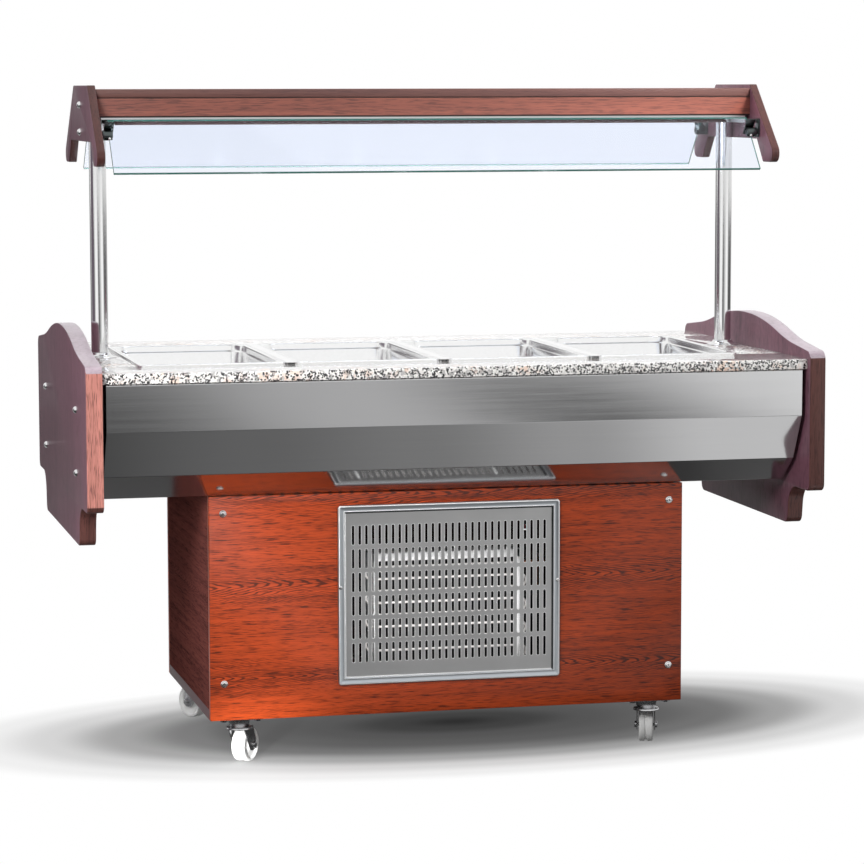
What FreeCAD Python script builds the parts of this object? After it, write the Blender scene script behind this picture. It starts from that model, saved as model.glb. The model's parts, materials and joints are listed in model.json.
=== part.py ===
import FreeCAD, Part
import math
import os
from FreeCAD import Vector

# A mobile refrigerated salad bar in millimetres, +Z up. The front faces -Y, and the origin is
# on the floor under the middle.

# Castors
castor_height = 104.0
castor_reach_x = 467.0
castor_reach_y = 266.0
castor_trail = 28.0
castor_headings = {"fl": 53.0, "fr": 73.0, "rl": 120.0, "rr": 60.0}
wheel_diameter = 75.0
wheel_width = 32.0
axle_diameter = 8.0
axle_head_flats = 13.0
axle_head_height = 5.0
fork_inner_width = 37.0
fork_sheet = 2.5
fork_leg_top_length = 56.0
fork_leg_back = 16.0
fork_leg_foot_radius = 12.0
crown_diameter = 58.0
crown_thickness = 3.0
crown_clearance = 4.0
race_gap = 0.3
race_diameter = 50.0
race_foot_diameter = 42.0
kingpin_diameter = 10.0
kingpin_head_diameter = 16.0
kingpin_head_height = 4.0
castor_plate_length = 95.0
castor_plate_width = 64.0
castor_plate_thickness = 2.5
castor_bolt_flats = 13.0
castor_bolt_inset = 10.0
castor_bolt_height = 4.0
turning_clearance = 0.05

# Sides of small round forms, chords of small rounded corners, and the edge left between two of them
round_sides = 16
corner_chords = 4
corner_gap = 0.1

# Base
base_length = 1074.0
base_depth = 614.0
base_frame_height = 496.0
board_thickness = 16.0
frame_rail = 22.0
frame_tube = 20.0
floor_pan_sheet = 2.0
base_board_gap = 2.0
panel_screw_diameter = 17.0
panel_screw_height = 4.0
screw_crown_share = 0.7
panel_screw_inset = 31.0
panel_screw_top_drop = 40.0
panel_screw_foot_rise = 81.0

# Front grille
grille_width = 505.0
grille_height = 400.0
grille_rise = 67.0
grille_border = 16.0
grille_corner = 9.0
grille_frame_thickness = 6.0
grille_bevel = 5.0
grille_plate_sheet = 1.2
grille_plate_lap = 4.0
grille_fit = 2.0
slot_columns = 30
slot_rows = 6
slot_width = 5.2
slot_height = 39.5
slot_pitch_x = 15.0
slot_pitch_z = 51.5
slot_field_rise = 41.0
grille_screw_diameter = 9.0
grille_screw_height = 2.5
grille_screw_inset = 5.75

# Rear vent and services
rear_vent_width = 300.0
rear_vent_height = 220.0
rear_vent_rise = 90.0
rear_slot_columns = 4
rear_slot_rows = 9
rear_slot_width = 52.0
rear_slot_height = 6.0
rear_slot_pitch_x = 66.0
rear_slot_pitch_z = 21.0
controller_width = 76.0
controller_height = 36.0
controller_depth = 60.0
controller_face = 4.0
controller_fit = 0.2
controller_x = 330.0
controller_rise = 380.0
switch_width = 21.0
switch_height = 15.0
switch_drop = 60.0
switch_travel_gap = 0.4
switch_lift = 3.0
switch_dip = 1.25
switch_back = 7.5
switch_back_half = 2.4
switch_paddle_half = 5.7
gland_diameter = 24.0
gland_length = 18.0
gland_nut_length = 9.0
gland_collar_diameter = 18.0
gland_mouth_diameter = 15.3
gland_shank_diameter = 12.0
gland_bore = 9.0
gland_rise = 45.0

# Tank, counter and well
tank_height = 259.0
tank_sheet = 1.2
tank_bend = 3.0
tank_flange = 20.0
tank_top_depth = 870.0
tank_upper_depth = 866.0
tank_upper_fold_rise = 155.0
tank_lower_depth = 756.0
tank_lower_fold_rise = 55.0
tank_floor_depth = 612.0
tank_floor_inset = 6.7
tank_end_gap = 10.0
standoff_flats = 20.0
counter_length = 1566.0
counter_depth = 880.0
counter_thickness = 22.0
counter_ease = 1.5
ledge_drop = 1.0
ledge_width = 14.0
ledge_front_width = 13.0
ledge_seal = 1.0
well_sheet = 1.2
well_depth = 180.0
well_corner = 20.0
foam_end_margin = 31.0
foam_clearance = 0.5

# Pans
pan_count = 4
pan_width = 325.0
pan_length = 530.0
pan_depth = 150.0
pan_sheet = 1.0
pan_rim = 12.5
pan_rim_corner = 14.0
pan_hem = 3.75
pan_corner = 46.0
pan_step_depth = 13.0
pan_step_inset = 3.0
pan_taper = 8.0
pan_seat_gap = 0.25
pan_side_gap = 1.5
bar_face = 20.0
bar_wing = 10.0
bar_sheet = 1.2

# End panels
end_thickness = 36.0
end_depth = 916.0
end_crest_rise = 77.0
end_crest_half = 118.0
end_valley_half = 292.0
end_valley_rise = 33.4
end_corner_rise = 16.8
end_corner_radius = 22.0
end_crest_radius = 950.0
end_valley_radius = 830.0
end_shoulder_drop = 12.0
end_shoulder_radius = 18.0
end_cove_half = 326.0
end_cove_radius = 50.0
end_foot_half = 313.0
end_foot_drop = 100.0
end_foot_radius = 20.0
end_bolt_half = 288.0
end_bolt_upper_rise = 193.0
end_bolt_lower_rise = 56.5

# Domed bolt heads
bolt_head_radius = 8.0
bolt_head_shoulder = 35.0
bolt_head_crown_radius = 2.5

# Posts
post_x = 730.0
post_diameter = 38.0
post_wall = 1.5
post_clearance = 0.1
post_hole_clearance = 0.4
socket_depth = 68.0
socket_wall = 3.0
socket_floor = 4.0
gusset_thickness = 6.0
collar_diameter = 74.0
collar_top_diameter = 50.0
collar_height = 12.0

# Canopy
canopy_rise = 578.0
canopy_board_thickness = 18.6
canopy_board_depth = 260.0
fascia_height = 43.4
fascia_thickness = 18.0
fascia_proud = 1.0
tray_sheet = 1.2
tray_lip = 4.6
tray_end_lip = 17.6
tray_end_inset = 11.0
lamp_half_depth = 96.0
lamp_end_inset = 49.0
lamp_housing_height = 13.0
lens_thickness = 2.0
bracket_thickness = 18.0
bracket_top_rise = 27.0
bracket_top_half = 124.0
bracket_tip_half = 319.0
bracket_tip_drop = 147.0
bracket_tip_radius = 20.0
bracket_leg_half = 222.0
bracket_notch_half = 178.0
bracket_notch_drop = 96.0
bracket_corner = 5.0
bracket_bolt_upper_drop = 16.0
bracket_bolt_lower_drop = 76.0

# Glass screens
glass_thickness = 6.0
glass_end_gap = 10.0
glass_tilt = 42.7
glass_pivot_half = 190.0
glass_pivot_drop = 81.0
glass_above_pivot = 43.0
glass_below_pivot = 111.0
jaw_diameter = 22.0
jaw_grip = 18.0
jaw_cap = 4.0
pivot_pin_diameter = 8.0
hinge_plate_thickness = 3.5
hinge_plate_radius = 12.0
hinge_plate_height = 31.0
hinge_end_gap = 0.2

# Cooling machine
coil_half_width = 166.0
coil_front = -250.0
coil_depth = 46.0
coil_plate = 1.5
coil_fin_margin = 5.0
coil_fin_foot = 20.0
coil_tube_diameter = 9.5
coil_tube_count = 10
coil_tube_pitch = 31.0
coil_tube_first = 38.0
coil_top_margin = 26.0
shroud_depth = 30.0
shroud_sheet = 1.5
shroud_bore = 256.0
fan_diameter = 244.0
fan_hub_diameter = 60.0
fan_hub_length = 28.0
fan_blades = 5
fan_blade_sweep = 44.0
fan_blade_pitch = 24.0
fan_blade_thickness = 1.5
fan_shaft_diameter = 8.0
fan_centre_rise = 180.0
motor_diameter = 84.0
motor_length = 70.0
motor_arm_count = 3
motor_arm_width = 14.0
motor_gap = 8.0
compressor_x = 330.0
compressor_y = 60.0
compressor_diameter = 150.0
compressor_height = 190.0
compressor_shoulder = 32.0
compressor_foot_length = 200.0
compressor_foot_width = 130.0
compressor_foot_sheet = 3.0
compressor_pad_size = 26.0
compressor_pad_height = 12.0
pipe_diameter = 9.5
pipe_rise = 80.0
pipe_offset = 30.0

# Drain
drain_x = -380.0
drain_y = 120.0
drain_pipe_diameter = 27.0
drain_wall = 2.5
drain_hole_clearance = 1.0
drain_flange_diameter = 60.0
drain_flange_thickness = 2.0
drain_stub_length = 16.0
drain_valve_length = 30.0
drain_valve_diameter = 38.0
drain_outlet_height = 44.0
drain_stem_diameter = 9.0
drain_stem_length = 9.0
drain_socket_diameter = 18.0
drain_lever_length = 44.0
drain_lever_width = 14.0
drain_lever_thickness = 3.0

# Heights and places that follow
frame_foot = castor_height
base_top = frame_foot + base_frame_height
board_top = base_top - base_board_gap
counter_underside = base_top + tank_height
counter_top = counter_underside + counter_thickness
ledge_top = counter_top - ledge_drop
rim_top = ledge_top + pan_seat_gap + pan_hem
canopy_underside = counter_top + canopy_rise
tray_top = canopy_underside - fascia_height
half_base = base_length / 2
half_base_depth = base_depth / 2
half_frame_depth = half_base_depth - board_thickness
half_counter = counter_length / 2
half_tank = half_counter - tank_end_gap
end_face = half_counter + end_thickness
pan_pitch = pan_width + bar_face
pan_body_half = pan_width / 2 - pan_rim
pan_body_half_length = pan_length / 2 - pan_rim
half_well = (pan_count - 1) / 2 * pan_pitch + pan_body_half + pan_side_gap
half_well_depth = pan_body_half_length + pan_side_gap
half_ledge = half_well + ledge_width
half_ledge_depth = half_well_depth + ledge_front_width
well_floor = ledge_top - well_depth
bracket_face = post_x + post_diameter / 2
canopy_half_depth = canopy_board_depth / 2
glass_half = bracket_face - glass_end_gap
glass_pivot_z = canopy_underside - glass_pivot_drop
floor_top = frame_foot + floor_pan_sheet
grille_foot = frame_foot + grille_rise
fan_centre = floor_top + fan_centre_rise
coil_back = coil_front + coil_depth
coil_top = floor_top + coil_tube_first + (coil_tube_count - 1) * coil_tube_pitch + coil_top_margin
machine_back = coil_back + shroud_depth

along_x = Vector(1, 0, 0)
along_y = Vector(0, 1, 0)
along_z = Vector(0, 0, 1)
centre = Vector(0, 0, 0)


def place(axis, value, u, v):
    # The point at a value along one axis, with its other two coordinates in x, y, z order.
    if axis == "x":
        return Vector(value, u, v)
    if axis == "y":
        return Vector(u, value, v)
    return Vector(u, v, value)


def outline(corners, axis="z", value=0.0, chords=0):
    # A closed wire through corners (u, v, radius), each rounded by a tangent arc or its chords.
    points = [place(axis, value, u, v) for u, v, radius in corners]
    arcs = []
    for i, (u, v, radius) in enumerate(corners):
        back = (points[i - 1] - points[i]).normalize()
        ahead = (points[(i + 1) % len(points)] - points[i]).normalize()
        half_angle = back.getAngle(ahead) / 2
        reach = radius / math.tan(half_angle)
        inward = (back + ahead).normalize() if radius else back
        middle = points[i] + inward * (radius / math.sin(half_angle) - radius)
        arcs.append((points[i] + back * reach, middle, points[i] + ahead * reach, radius))
    edges = []
    for i, (start, middle, end, radius) in enumerate(arcs):
        if radius:
            arc = Part.Arc(start, middle, end).toShape()
            edges += Part.makePolygon(arc.discretize(chords + 1)).Edges if chords else [arc]
        following = arcs[(i + 1) % len(arcs)][0]
        if (following - end).Length > 0.001:
            edges.append(Part.LineSegment(end, following).toShape())
    return Part.Wire(edges)


def slab(corners, axis, start, thickness, chords=0):
    normal = place(axis, 1.0, 0.0, 0.0)
    return Part.Face(outline(corners, axis, start, chords)).extrude(normal * thickness)


def rectangle(half_u, half_v, radius=0.0, u=0.0, v=0.0):
    return [
        (u - half_u, v - half_v, radius),
        (u + half_u, v - half_v, radius),
        (u + half_u, v + half_v, radius),
        (u - half_u, v + half_v, radius),
    ]


def symmetric(corners):
    # Corners on the +u side, from the top down, with their mirror images.
    return corners + [(-u, v, radius) for u, v, radius in reversed(corners)]


def block(x, y, z):
    return Part.makeBox(x[1] - x[0], y[1] - y[0], z[1] - z[0], Vector(x[0], y[0], z[0]))


def rod(diameter, start, direction, length):
    return Part.makeCylinder(diameter / 2, length, start, direction)


def hexagon(flats, start, direction, length):
    # A hexagonal prism along an axis.
    radius = flats / 2 / math.cos(math.pi / 6)
    side = along_x if direction.z else along_z
    turns = [FreeCAD.Rotation(direction, 60 * i) for i in range(6)]
    points = [start + turn.multVec(side) * radius for turn in turns]
    return Part.Face(Part.makePolygon(points + points[:1])).extrude(direction * length)


def many_sided(levels, start, direction):
    # A round form with flat sides, from (radius, distance) pairs.
    turns = [2 * math.pi * i / round_sides for i in range(round_sides)]
    rings = [[Vector(r * math.cos(turn), r * math.sin(turn), distance) for turn in turns] for r, distance in levels]
    outlines = [rings[0], rings[-1]]
    for lower, upper in zip(rings, rings[1:]):
        outlines += [[lower[i - 1], lower[i], upper[i], upper[i - 1]] for i in range(round_sides)]
    faces = [Part.Face(Part.makePolygon(points + points[:1])) for points in outlines]
    solid = Part.Solid(Part.Shell(faces))
    solid.Placement = FreeCAD.Placement(start, FreeCAD.Rotation(along_z, direction))
    return solid


def left_and_right(shape):
    return [shape, shape.mirror(centre, along_x)]


def front_and_rear(shape):
    return [shape, shape.mirror(centre, along_y)]


def four_ways(shape):
    return [copy for side in left_and_right(shape) for copy in front_and_rear(side)]


def edges_at(shape, **places):
    # Edges whose ends all have the given coordinates, such as Y=0.
    return [
        edge
        for edge in shape.Edges
        if all(
            abs(getattr(vertex, axis) - value) < 0.01
            for vertex in edge.Vertexes
            for axis, value in places.items()
        )
    ]


def inner_line(path, thickness):
    # The line one thickness to the left of a path of (u, v) points.
    normals = []
    for (u1, v1), (u2, v2) in zip(path, path[1:]):
        length = math.hypot(u2 - u1, v2 - v1)
        normals.append(((v1 - v2) / length, (u2 - u1) / length))
    before = normals[:1] + normals
    after = normals + normals[-1:]
    line = []
    for (u, v), (a, b), (c, d) in zip(path, before, after):
        share = thickness / (1 + a * c + b * d)
        line.append((u + (a + c) * share, v + (b + d) * share))
    return line


def folded(path, thickness, bend):
    # Corners of a bent sheet whose bends all turn towards its inner side.
    inner = inner_line(path, thickness)
    outer_corners = [(u, v, bend + thickness) for u, v in path[1:-1]]
    inner_corners = [(u, v, bend) for u, v in inner[1:-1]]
    ends = [(u, v, 0) for u, v in (path[0], path[-1], inner[-1], inner[0])]
    return ends[:1] + outer_corners + ends[1:3] + inner_corners[::-1] + ends[3:]


# Canopy


def canopy_top_board():
    board = block(
        (-bracket_face, bracket_face),
        (-canopy_half_depth, canopy_half_depth),
        (canopy_underside, canopy_underside + canopy_board_thickness),
    )
    return [board]


def canopy_fascias():
    front = -canopy_half_depth - fascia_proud
    board = block(
        (-bracket_face, bracket_face), (front, front + fascia_thickness), (tray_top, canopy_underside)
    )
    return front_and_rear(board)


def canopy_tray():
    half = bracket_face - tray_end_inset
    underside = tray_top - tray_sheet
    plate = block((-half, half), (-canopy_half_depth, canopy_half_depth), (underside, tray_top))
    lip = block(
        (-half, half),
        (-canopy_half_depth, tray_sheet - canopy_half_depth),
        (tray_top - tray_lip, underside),
    )
    end_lip = block(
        (half - tray_sheet, half),
        (-canopy_half_depth, canopy_half_depth),
        (tray_top - tray_end_lip, underside),
    )
    wall = block(
        (lamp_end_inset - bracket_face, bracket_face - lamp_end_inset),
        (-lamp_half_depth, tray_sheet - lamp_half_depth),
        (underside - lamp_housing_height, underside),
    )
    tray = plate.fuse(front_and_rear(lip) + left_and_right(end_lip) + front_and_rear(wall))
    for sign in (-1, 1):
        start = Vector(sign * post_x, 0, tray_top - tray_end_lip)
        tray = tray.cut(rod(post_diameter + post_hole_clearance, start, along_z, tray_end_lip))
    return [tray.removeSplitter()]


def lamp_lens():
    foot = tray_top - tray_sheet - lamp_housing_height
    half = bracket_face - lamp_end_inset
    half_depth = lamp_half_depth - tray_sheet
    return [block((-half, half), (-half_depth, half_depth), (foot, foot + lens_thickness))]


def bracket():
    top = canopy_underside + bracket_top_rise
    tip = canopy_underside - bracket_tip_drop
    notch = canopy_underside - bracket_notch_drop
    corners = symmetric(
        [
            (bracket_top_half, top, bracket_corner),
            (bracket_tip_half, tip, bracket_tip_radius),
            (bracket_leg_half, tip, bracket_corner),
            (bracket_notch_half, notch, bracket_corner),
        ]
    )
    return slab(corners, "x", bracket_face, bracket_thickness)


def brackets():
    right, left = left_and_right(bracket())
    return {"bracket_right": [right], "bracket_left": [left]}


# Posts


def post():
    foot = counter_underside - socket_depth
    tube = rod(post_diameter, Vector(post_x, 0, foot), along_z, canopy_underside - foot)
    bore_diameter = post_diameter - 2 * post_wall
    return tube.cut(rod(bore_diameter, Vector(post_x, 0, foot), along_z, canopy_underside - foot))


def posts():
    right, left = left_and_right(post())
    return {"post_right": [right], "post_left": [left]}


def post_collars():
    seat = Vector(post_x, 0, counter_top)
    levels = [(collar_diameter / 2, 0), (collar_top_diameter / 2, collar_height)]
    bore = rod(post_diameter + post_hole_clearance, seat, along_z, collar_height)
    return left_and_right(many_sided(levels, seat, along_z).cut(bore))


# Glass screens, drawn for the front and mirrored to the rear


def on_screen(down, outward):
    # (y, z) of a place on the front screen, from its pivot down the slope and outward.
    tilt = math.radians(glass_tilt)
    y = -glass_pivot_half - down * math.sin(tilt) - outward * math.cos(tilt)
    z = glass_pivot_z - down * math.cos(tilt) + outward * math.sin(tilt)
    return y, z


def screen_slab(top, foot, thickness, start, end):
    half = thickness / 2
    places = [(top, half), (foot, half), (foot, -half), (top, -half)]
    corners = [on_screen(down, outward) + (0,) for down, outward in places]
    return slab(corners, "x", start, end - start)


def glass_screen():
    return screen_slab(-glass_above_pivot, glass_below_pivot, glass_thickness, -glass_half, glass_half)


def glass_jaw():
    start = Vector(glass_half - jaw_grip, -glass_pivot_half, glass_pivot_z)
    jaw = rod(jaw_diameter, start, along_x, jaw_grip + jaw_cap)
    pin = rod(pivot_pin_diameter, start, along_x, bracket_face - hinge_end_gap - start.x)
    slot = screen_slab(-jaw_diameter, jaw_diameter, glass_thickness, start.x, glass_half)
    return jaw.fuse(pin).cut(slot)


def hinge_bracket():
    radius = hinge_plate_radius
    corners = rectangle(radius, (radius + hinge_plate_height) / 2, radius / 2)
    lift = (hinge_plate_height - radius) / 2
    corners = [(u - glass_pivot_half, v + glass_pivot_z + lift, r) for u, v, r in corners]
    corners = [(u, v, radius - corner_gap if v < glass_pivot_z else radius / 2) for u, v, r in corners]
    start_x = bracket_face - hinge_plate_thickness
    plate = slab(corners, "x", start_x, hinge_plate_thickness, corner_chords)
    start = Vector(start_x, -glass_pivot_half, glass_pivot_z)
    bore = pivot_pin_diameter + 2 * turning_clearance
    return plate.cut(rod(bore, start, along_x, hinge_plate_thickness))


def glass_pieces():
    front, rear = front_and_rear(glass_screen())
    jaws = left_and_right(glass_jaw())
    return {
        "glass_front": [front],
        "glass_rear": [rear],
        "glass_jaws_front": jaws,
        "glass_jaws_rear": [front_and_rear(jaw)[1] for jaw in jaws],
        "glass_hinge_brackets": four_ways(hinge_bracket()),
    }


# Counter


def stone_strip():
    opening = half_ledge_depth + ledge_seal
    strip = block(
        (-half_counter, half_counter), (-counter_depth / 2, -opening), (counter_underside, counter_top)
    )
    return strip.makeChamfer(counter_ease, edges_at(strip, Y=-counter_depth / 2, Z=counter_top))


def stone_end():
    opening = half_ledge_depth + ledge_seal
    piece = block(
        (half_ledge + ledge_seal, half_counter), (-opening, opening), (counter_underside, counter_top)
    )
    hole = rod(
        post_diameter + post_hole_clearance, Vector(post_x, 0, counter_underside), along_z, counter_thickness
    )
    return piece.cut(hole)


def counter_pieces():
    front, rear = front_and_rear(stone_strip())
    return {"granite_front": [front], "granite_rear": [rear], "granite_ends": left_and_right(stone_end())}


def drain_hole(diameter, bottom, top):
    return rod(diameter, Vector(drain_x, drain_y, bottom), along_z, top - bottom)


def drain_passage(bottom, top):
    return drain_hole(drain_pipe_diameter + 2 * drain_hole_clearance, bottom, top)


def well_liner():
    ledge = slab(rectangle(half_ledge, half_ledge_depth), "z", ledge_top - well_sheet, well_sheet)
    outside = rectangle(half_well + well_sheet, half_well_depth + well_sheet, well_corner + well_sheet)
    inside = rectangle(half_well, half_well_depth, well_corner)
    liner = ledge.fuse(slab(outside, "z", well_floor, ledge_top - well_floor))
    liner = liner.cut(slab(inside, "z", well_floor + well_sheet, ledge_top - well_floor))
    hole = drain_hole(drain_pipe_diameter - 2 * drain_wall, well_floor, well_floor + well_sheet)
    return [liner.cut(hole).removeSplitter()]


def pan_bar():
    # A hat section that spans the well: its wings carry the rims of the pans beside it.
    top = rim_top
    face = bar_face / 2
    wing_half_length = half_well_depth - foam_clearance
    cap_half_length = half_ledge_depth - foam_clearance
    cap = block((-face, face), (-cap_half_length, cap_half_length), (ledge_top, top))
    under = block(
        (bar_sheet - face, face - bar_sheet), (-cap_half_length, cap_half_length), (ledge_top, top - bar_sheet)
    )
    wing = block(
        (-face - bar_wing, bar_sheet - face),
        (-wing_half_length, wing_half_length),
        (ledge_top - bar_sheet, ledge_top),
    )
    return cap.cut(under).fuse(left_and_right(wing)).removeSplitter()


def pan_bars():
    places = [(i - (pan_count - 2) / 2) * pan_pitch for i in range(pan_count - 1)]
    return [pan_bar().translated(Vector(x, 0, 0)) for x in places]


# Pans


def pan_body(inset):
    # The tapered body with its stacking step, drawn in by a sheet thickness for its inside.
    floor = rim_top - pan_depth + inset
    step_top = rim_top - pan_step_depth + inset
    levels = [
        (rim_top, 0.0),
        (step_top, 0.0),
        (step_top - pan_step_inset, pan_step_inset),
        (floor, pan_taper),
    ]
    wires = []
    for z, narrowing in levels:
        drawn_in = inset + narrowing
        corners = rectangle(
            pan_body_half - drawn_in, pan_body_half_length - drawn_in, pan_corner - drawn_in
        )
        wires.append(outline(corners, "z", z, corner_chords))
    return Part.makeLoft(wires, True, True)


def pan():
    hem_foot = rim_top - pan_hem
    edge = rectangle(pan_width / 2, pan_length / 2, pan_rim_corner)
    rim = slab(edge, "z", hem_foot, pan_hem, corner_chords)
    hollow = rectangle(pan_width / 2 - pan_sheet, pan_length / 2 - pan_sheet, pan_rim_corner - pan_sheet)
    rim = rim.cut(slab(hollow, "z", hem_foot, pan_hem - pan_sheet, corner_chords))
    return rim.fuse(pan_body(0.0)).cut(pan_body(pan_sheet)).removeSplitter()


def pans():
    pieces = {}
    for i in range(pan_count):
        x = (i - (pan_count - 1) / 2) * pan_pitch
        pieces[f"pan_{i + 1}"] = [pan().translated(Vector(x, 0, 0))]
    return pieces


# Tank


def tank_path():
    # The outside of the front skin from its top flange to its floor flange, as (y, z).
    half_top = tank_top_depth / 2
    half_floor = tank_floor_depth / 2
    return [
        (tank_flange - half_top, counter_underside),
        (-half_top, counter_underside),
        (-tank_upper_depth / 2, base_top + tank_upper_fold_rise),
        (-tank_lower_depth / 2, base_top + tank_lower_fold_rise),
        (-half_floor, base_top),
        (tank_flange - half_floor, base_top),
    ]


def tank_skins():
    skin = slab(folded(tank_path(), tank_sheet, tank_bend), "x", -half_tank, 2 * half_tank)
    front, rear = front_and_rear(skin)
    return {"tank_front_skin": [front], "tank_rear_skin": [rear]}


def tank_section(foot):
    # Corners of the space inside the skins above a height.
    corners = [(y, z, tank_bend) for y, z in inner_line(tank_path(), tank_sheet)[1:-1]]
    (y1, z1, _), (y2, z2, _) = corners[1:3]
    if foot > z2:
        y = y1 + (y2 - y1) * (z1 - foot) / (z1 - z2)
        corners = corners[:2] + [(y, foot, 0)]
    return symmetric([(-y, z, r) for y, z, r in corners])


def end_bolt_places():
    rises = (end_bolt_upper_rise, end_bolt_lower_rise)
    return [(y, base_top + rise) for y in (-end_bolt_half, end_bolt_half) for rise in rises]


def tank_end():
    plate = slab(tank_section(base_top), "x", half_tank - tank_sheet, tank_sheet)
    socket_foot = counter_underside - socket_depth - socket_floor
    outer = post_diameter + 2 * post_clearance + 2 * socket_wall
    height = counter_underside - tank_sheet - socket_foot
    socket = rod(outer, Vector(post_x, 0, socket_foot), along_z, height)
    gusset = block(
        (post_x, half_tank - tank_sheet),
        (-gusset_thickness / 2, gusset_thickness / 2),
        (socket_foot, socket_foot + height),
    )
    bore_start = Vector(post_x, 0, socket_foot + socket_floor)
    bore = rod(post_diameter + 2 * post_clearance, bore_start, along_z, height)
    end = plate.fuse(socket.fuse(gusset).cut(bore))
    for y, z in end_bolt_places():
        end = end.fuse(hexagon(standoff_flats, Vector(half_tank, y, z), along_x, tank_end_gap))
    return end.removeSplitter()


def tank_ends():
    return left_and_right(tank_end())


def tank_floor():
    half = half_tank - tank_sheet
    half_depth = tank_floor_depth / 2 - tank_floor_inset
    foot = base_top + tank_sheet
    floor = block((-half, half), (-half_depth, half_depth), (foot, foot + tank_sheet))
    return [floor.cut(drain_passage(foot, foot + tank_sheet))]


def insulation():
    # Foam from the skins to the liner, with a collar up through the opening in the stone.
    half = half_well + foam_end_margin
    foot = base_top + tank_lower_fold_rise + tank_sheet
    foam = slab(tank_section(foot + tank_sheet), "x", -half, 2 * half)
    collar = block(
        (foam_clearance - half_ledge - ledge_seal, half_ledge + ledge_seal - foam_clearance),
        (foam_clearance - half_ledge_depth - ledge_seal, half_ledge_depth + ledge_seal - foam_clearance),
        (well_floor, ledge_top - well_sheet),
    )
    liner = rectangle(half_well + well_sheet, half_well_depth + well_sheet, well_corner + well_sheet)
    foam = foam.fuse(collar).cut(slab(liner, "z", well_floor, well_depth))
    hole = drain_hole(drain_flange_diameter + 2 * foam_clearance, base_top, well_floor)
    return [foam.cut(hole).removeSplitter()]


# End panels and bolts


def end_panel():
    half = end_depth / 2
    corners = symmetric(
        [
            (end_crest_half, counter_top + end_crest_rise, end_crest_radius),
            (end_valley_half, counter_top + end_valley_rise, end_valley_radius),
            (half, counter_top + end_corner_rise, end_corner_radius),
            (half, base_top - end_shoulder_drop, end_shoulder_radius),
            (end_cove_half, base_top - end_shoulder_drop, end_cove_radius),
            (end_foot_half, base_top - end_foot_drop, end_foot_radius),
        ]
    )
    return slab(corners, "x", half_counter, end_thickness)


def end_panels():
    right, left = left_and_right(end_panel())
    return {"end_panel_right": [right], "end_panel_left": [left]}


def dome_bolts():
    # Heads seated on the outer faces of the end panels and the canopy brackets.
    radius = bolt_head_radius
    shoulder = math.radians(bolt_head_shoulder)
    shoulder_level = (radius * math.cos(shoulder), radius * math.sin(shoulder))
    levels = [(radius, 0), shoulder_level, (bolt_head_crown_radius, radius)]
    seats = [Vector(end_face, y, z) for y, z in end_bolt_places()]
    for drop in (bracket_bolt_upper_drop, bracket_bolt_lower_drop):
        seats.append(Vector(bracket_face + bracket_thickness, 0, canopy_underside - drop))
    return [copy for seat in seats for copy in left_and_right(many_sided(levels, seat, along_x))]


# Base


def base_frame():
    half = half_base
    depth = half_frame_depth
    rail_top = frame_foot + frame_rail
    ring = block((-half, half), (-depth, depth), (frame_foot, rail_top))
    ring = ring.cut(
        block(
            (frame_rail - half, half - frame_rail),
            (frame_rail - depth, depth - frame_rail),
            (frame_foot, rail_top),
        )
    )
    floor = block(
        (frame_rail - half, half - frame_rail), (frame_rail - depth, depth - frame_rail), (frame_foot, floor_top)
    )
    inner = half - board_thickness
    top_ring = block((-inner, inner), (-depth, depth), (base_top - frame_tube, base_top))
    top_ring = top_ring.cut(
        block(
            (frame_tube - inner, inner - frame_tube),
            (frame_tube - depth, depth - frame_tube),
            (base_top - frame_tube, base_top),
        )
    )
    upright = block((inner - frame_tube, inner), (depth - frame_tube, depth), (rail_top, base_top - frame_tube))
    frame = ring.fuse([floor, top_ring] + four_ways(upright))
    return [frame.cut(drain_passage(frame_foot, floor_top)).removeSplitter()]


def base_front_panel():
    board = block((-half_base, half_base), (-half_base_depth, -half_frame_depth), (frame_foot, board_top))
    half = grille_width / 2 - grille_border + grille_plate_lap + grille_fit
    margin = grille_border - grille_plate_lap - grille_fit
    opening = block(
        (-half, half),
        (-half_base_depth, -half_frame_depth),
        (grille_foot + margin, grille_foot + grille_height - margin),
    )
    return board.cut(opening)


def base_rear_panel():
    board = block((-half_base, half_base), (half_frame_depth, half_base_depth), (frame_foot, board_top))
    vent_foot = frame_foot + rear_vent_rise
    half = rear_vent_width / 2 - grille_border
    opening = block(
        (-half, half),
        (half_frame_depth, half_base_depth),
        (vent_foot + grille_border, vent_foot + rear_vent_height - grille_border),
    )
    start = Vector(controller_x, half_frame_depth, frame_foot + gland_rise)
    shank = rod(gland_shank_diameter, start, along_y, board_thickness)
    return board.cut([opening, controller_body(0.0), switch_well(), shank])


def base_side_panels():
    board = block(
        (half_base - board_thickness, half_base),
        (-half_frame_depth, half_frame_depth),
        (frame_foot + frame_rail, board_top),
    )
    right, left = left_and_right(board)
    return {"base_side_right": [right], "base_side_left": [left]}


def panel_screw_places():
    heights = (board_top - panel_screw_top_drop + base_board_gap, frame_foot + panel_screw_foot_rise)
    x = half_base - panel_screw_inset
    return [(sign * x, z) for sign in (-1, 1) for z in heights]


def screw_head(diameter, height, seat):
    # A low pan head on a face that looks to -Y.
    radius = diameter / 2
    return many_sided([(radius, 0), (radius * screw_crown_share, height)], seat, -along_y)


def panel_screws():
    screws = []
    for x, z in panel_screw_places():
        seat = Vector(x, -half_base_depth, z)
        screws += front_and_rear(screw_head(panel_screw_diameter, panel_screw_height, seat))
    seat = Vector(
        grille_width / 2 - grille_screw_inset,
        -half_base_depth - grille_frame_thickness,
        grille_foot + grille_height / 2,
    )
    return screws + left_and_right(screw_head(grille_screw_diameter, grille_screw_height, seat))


# Grilles


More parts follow.
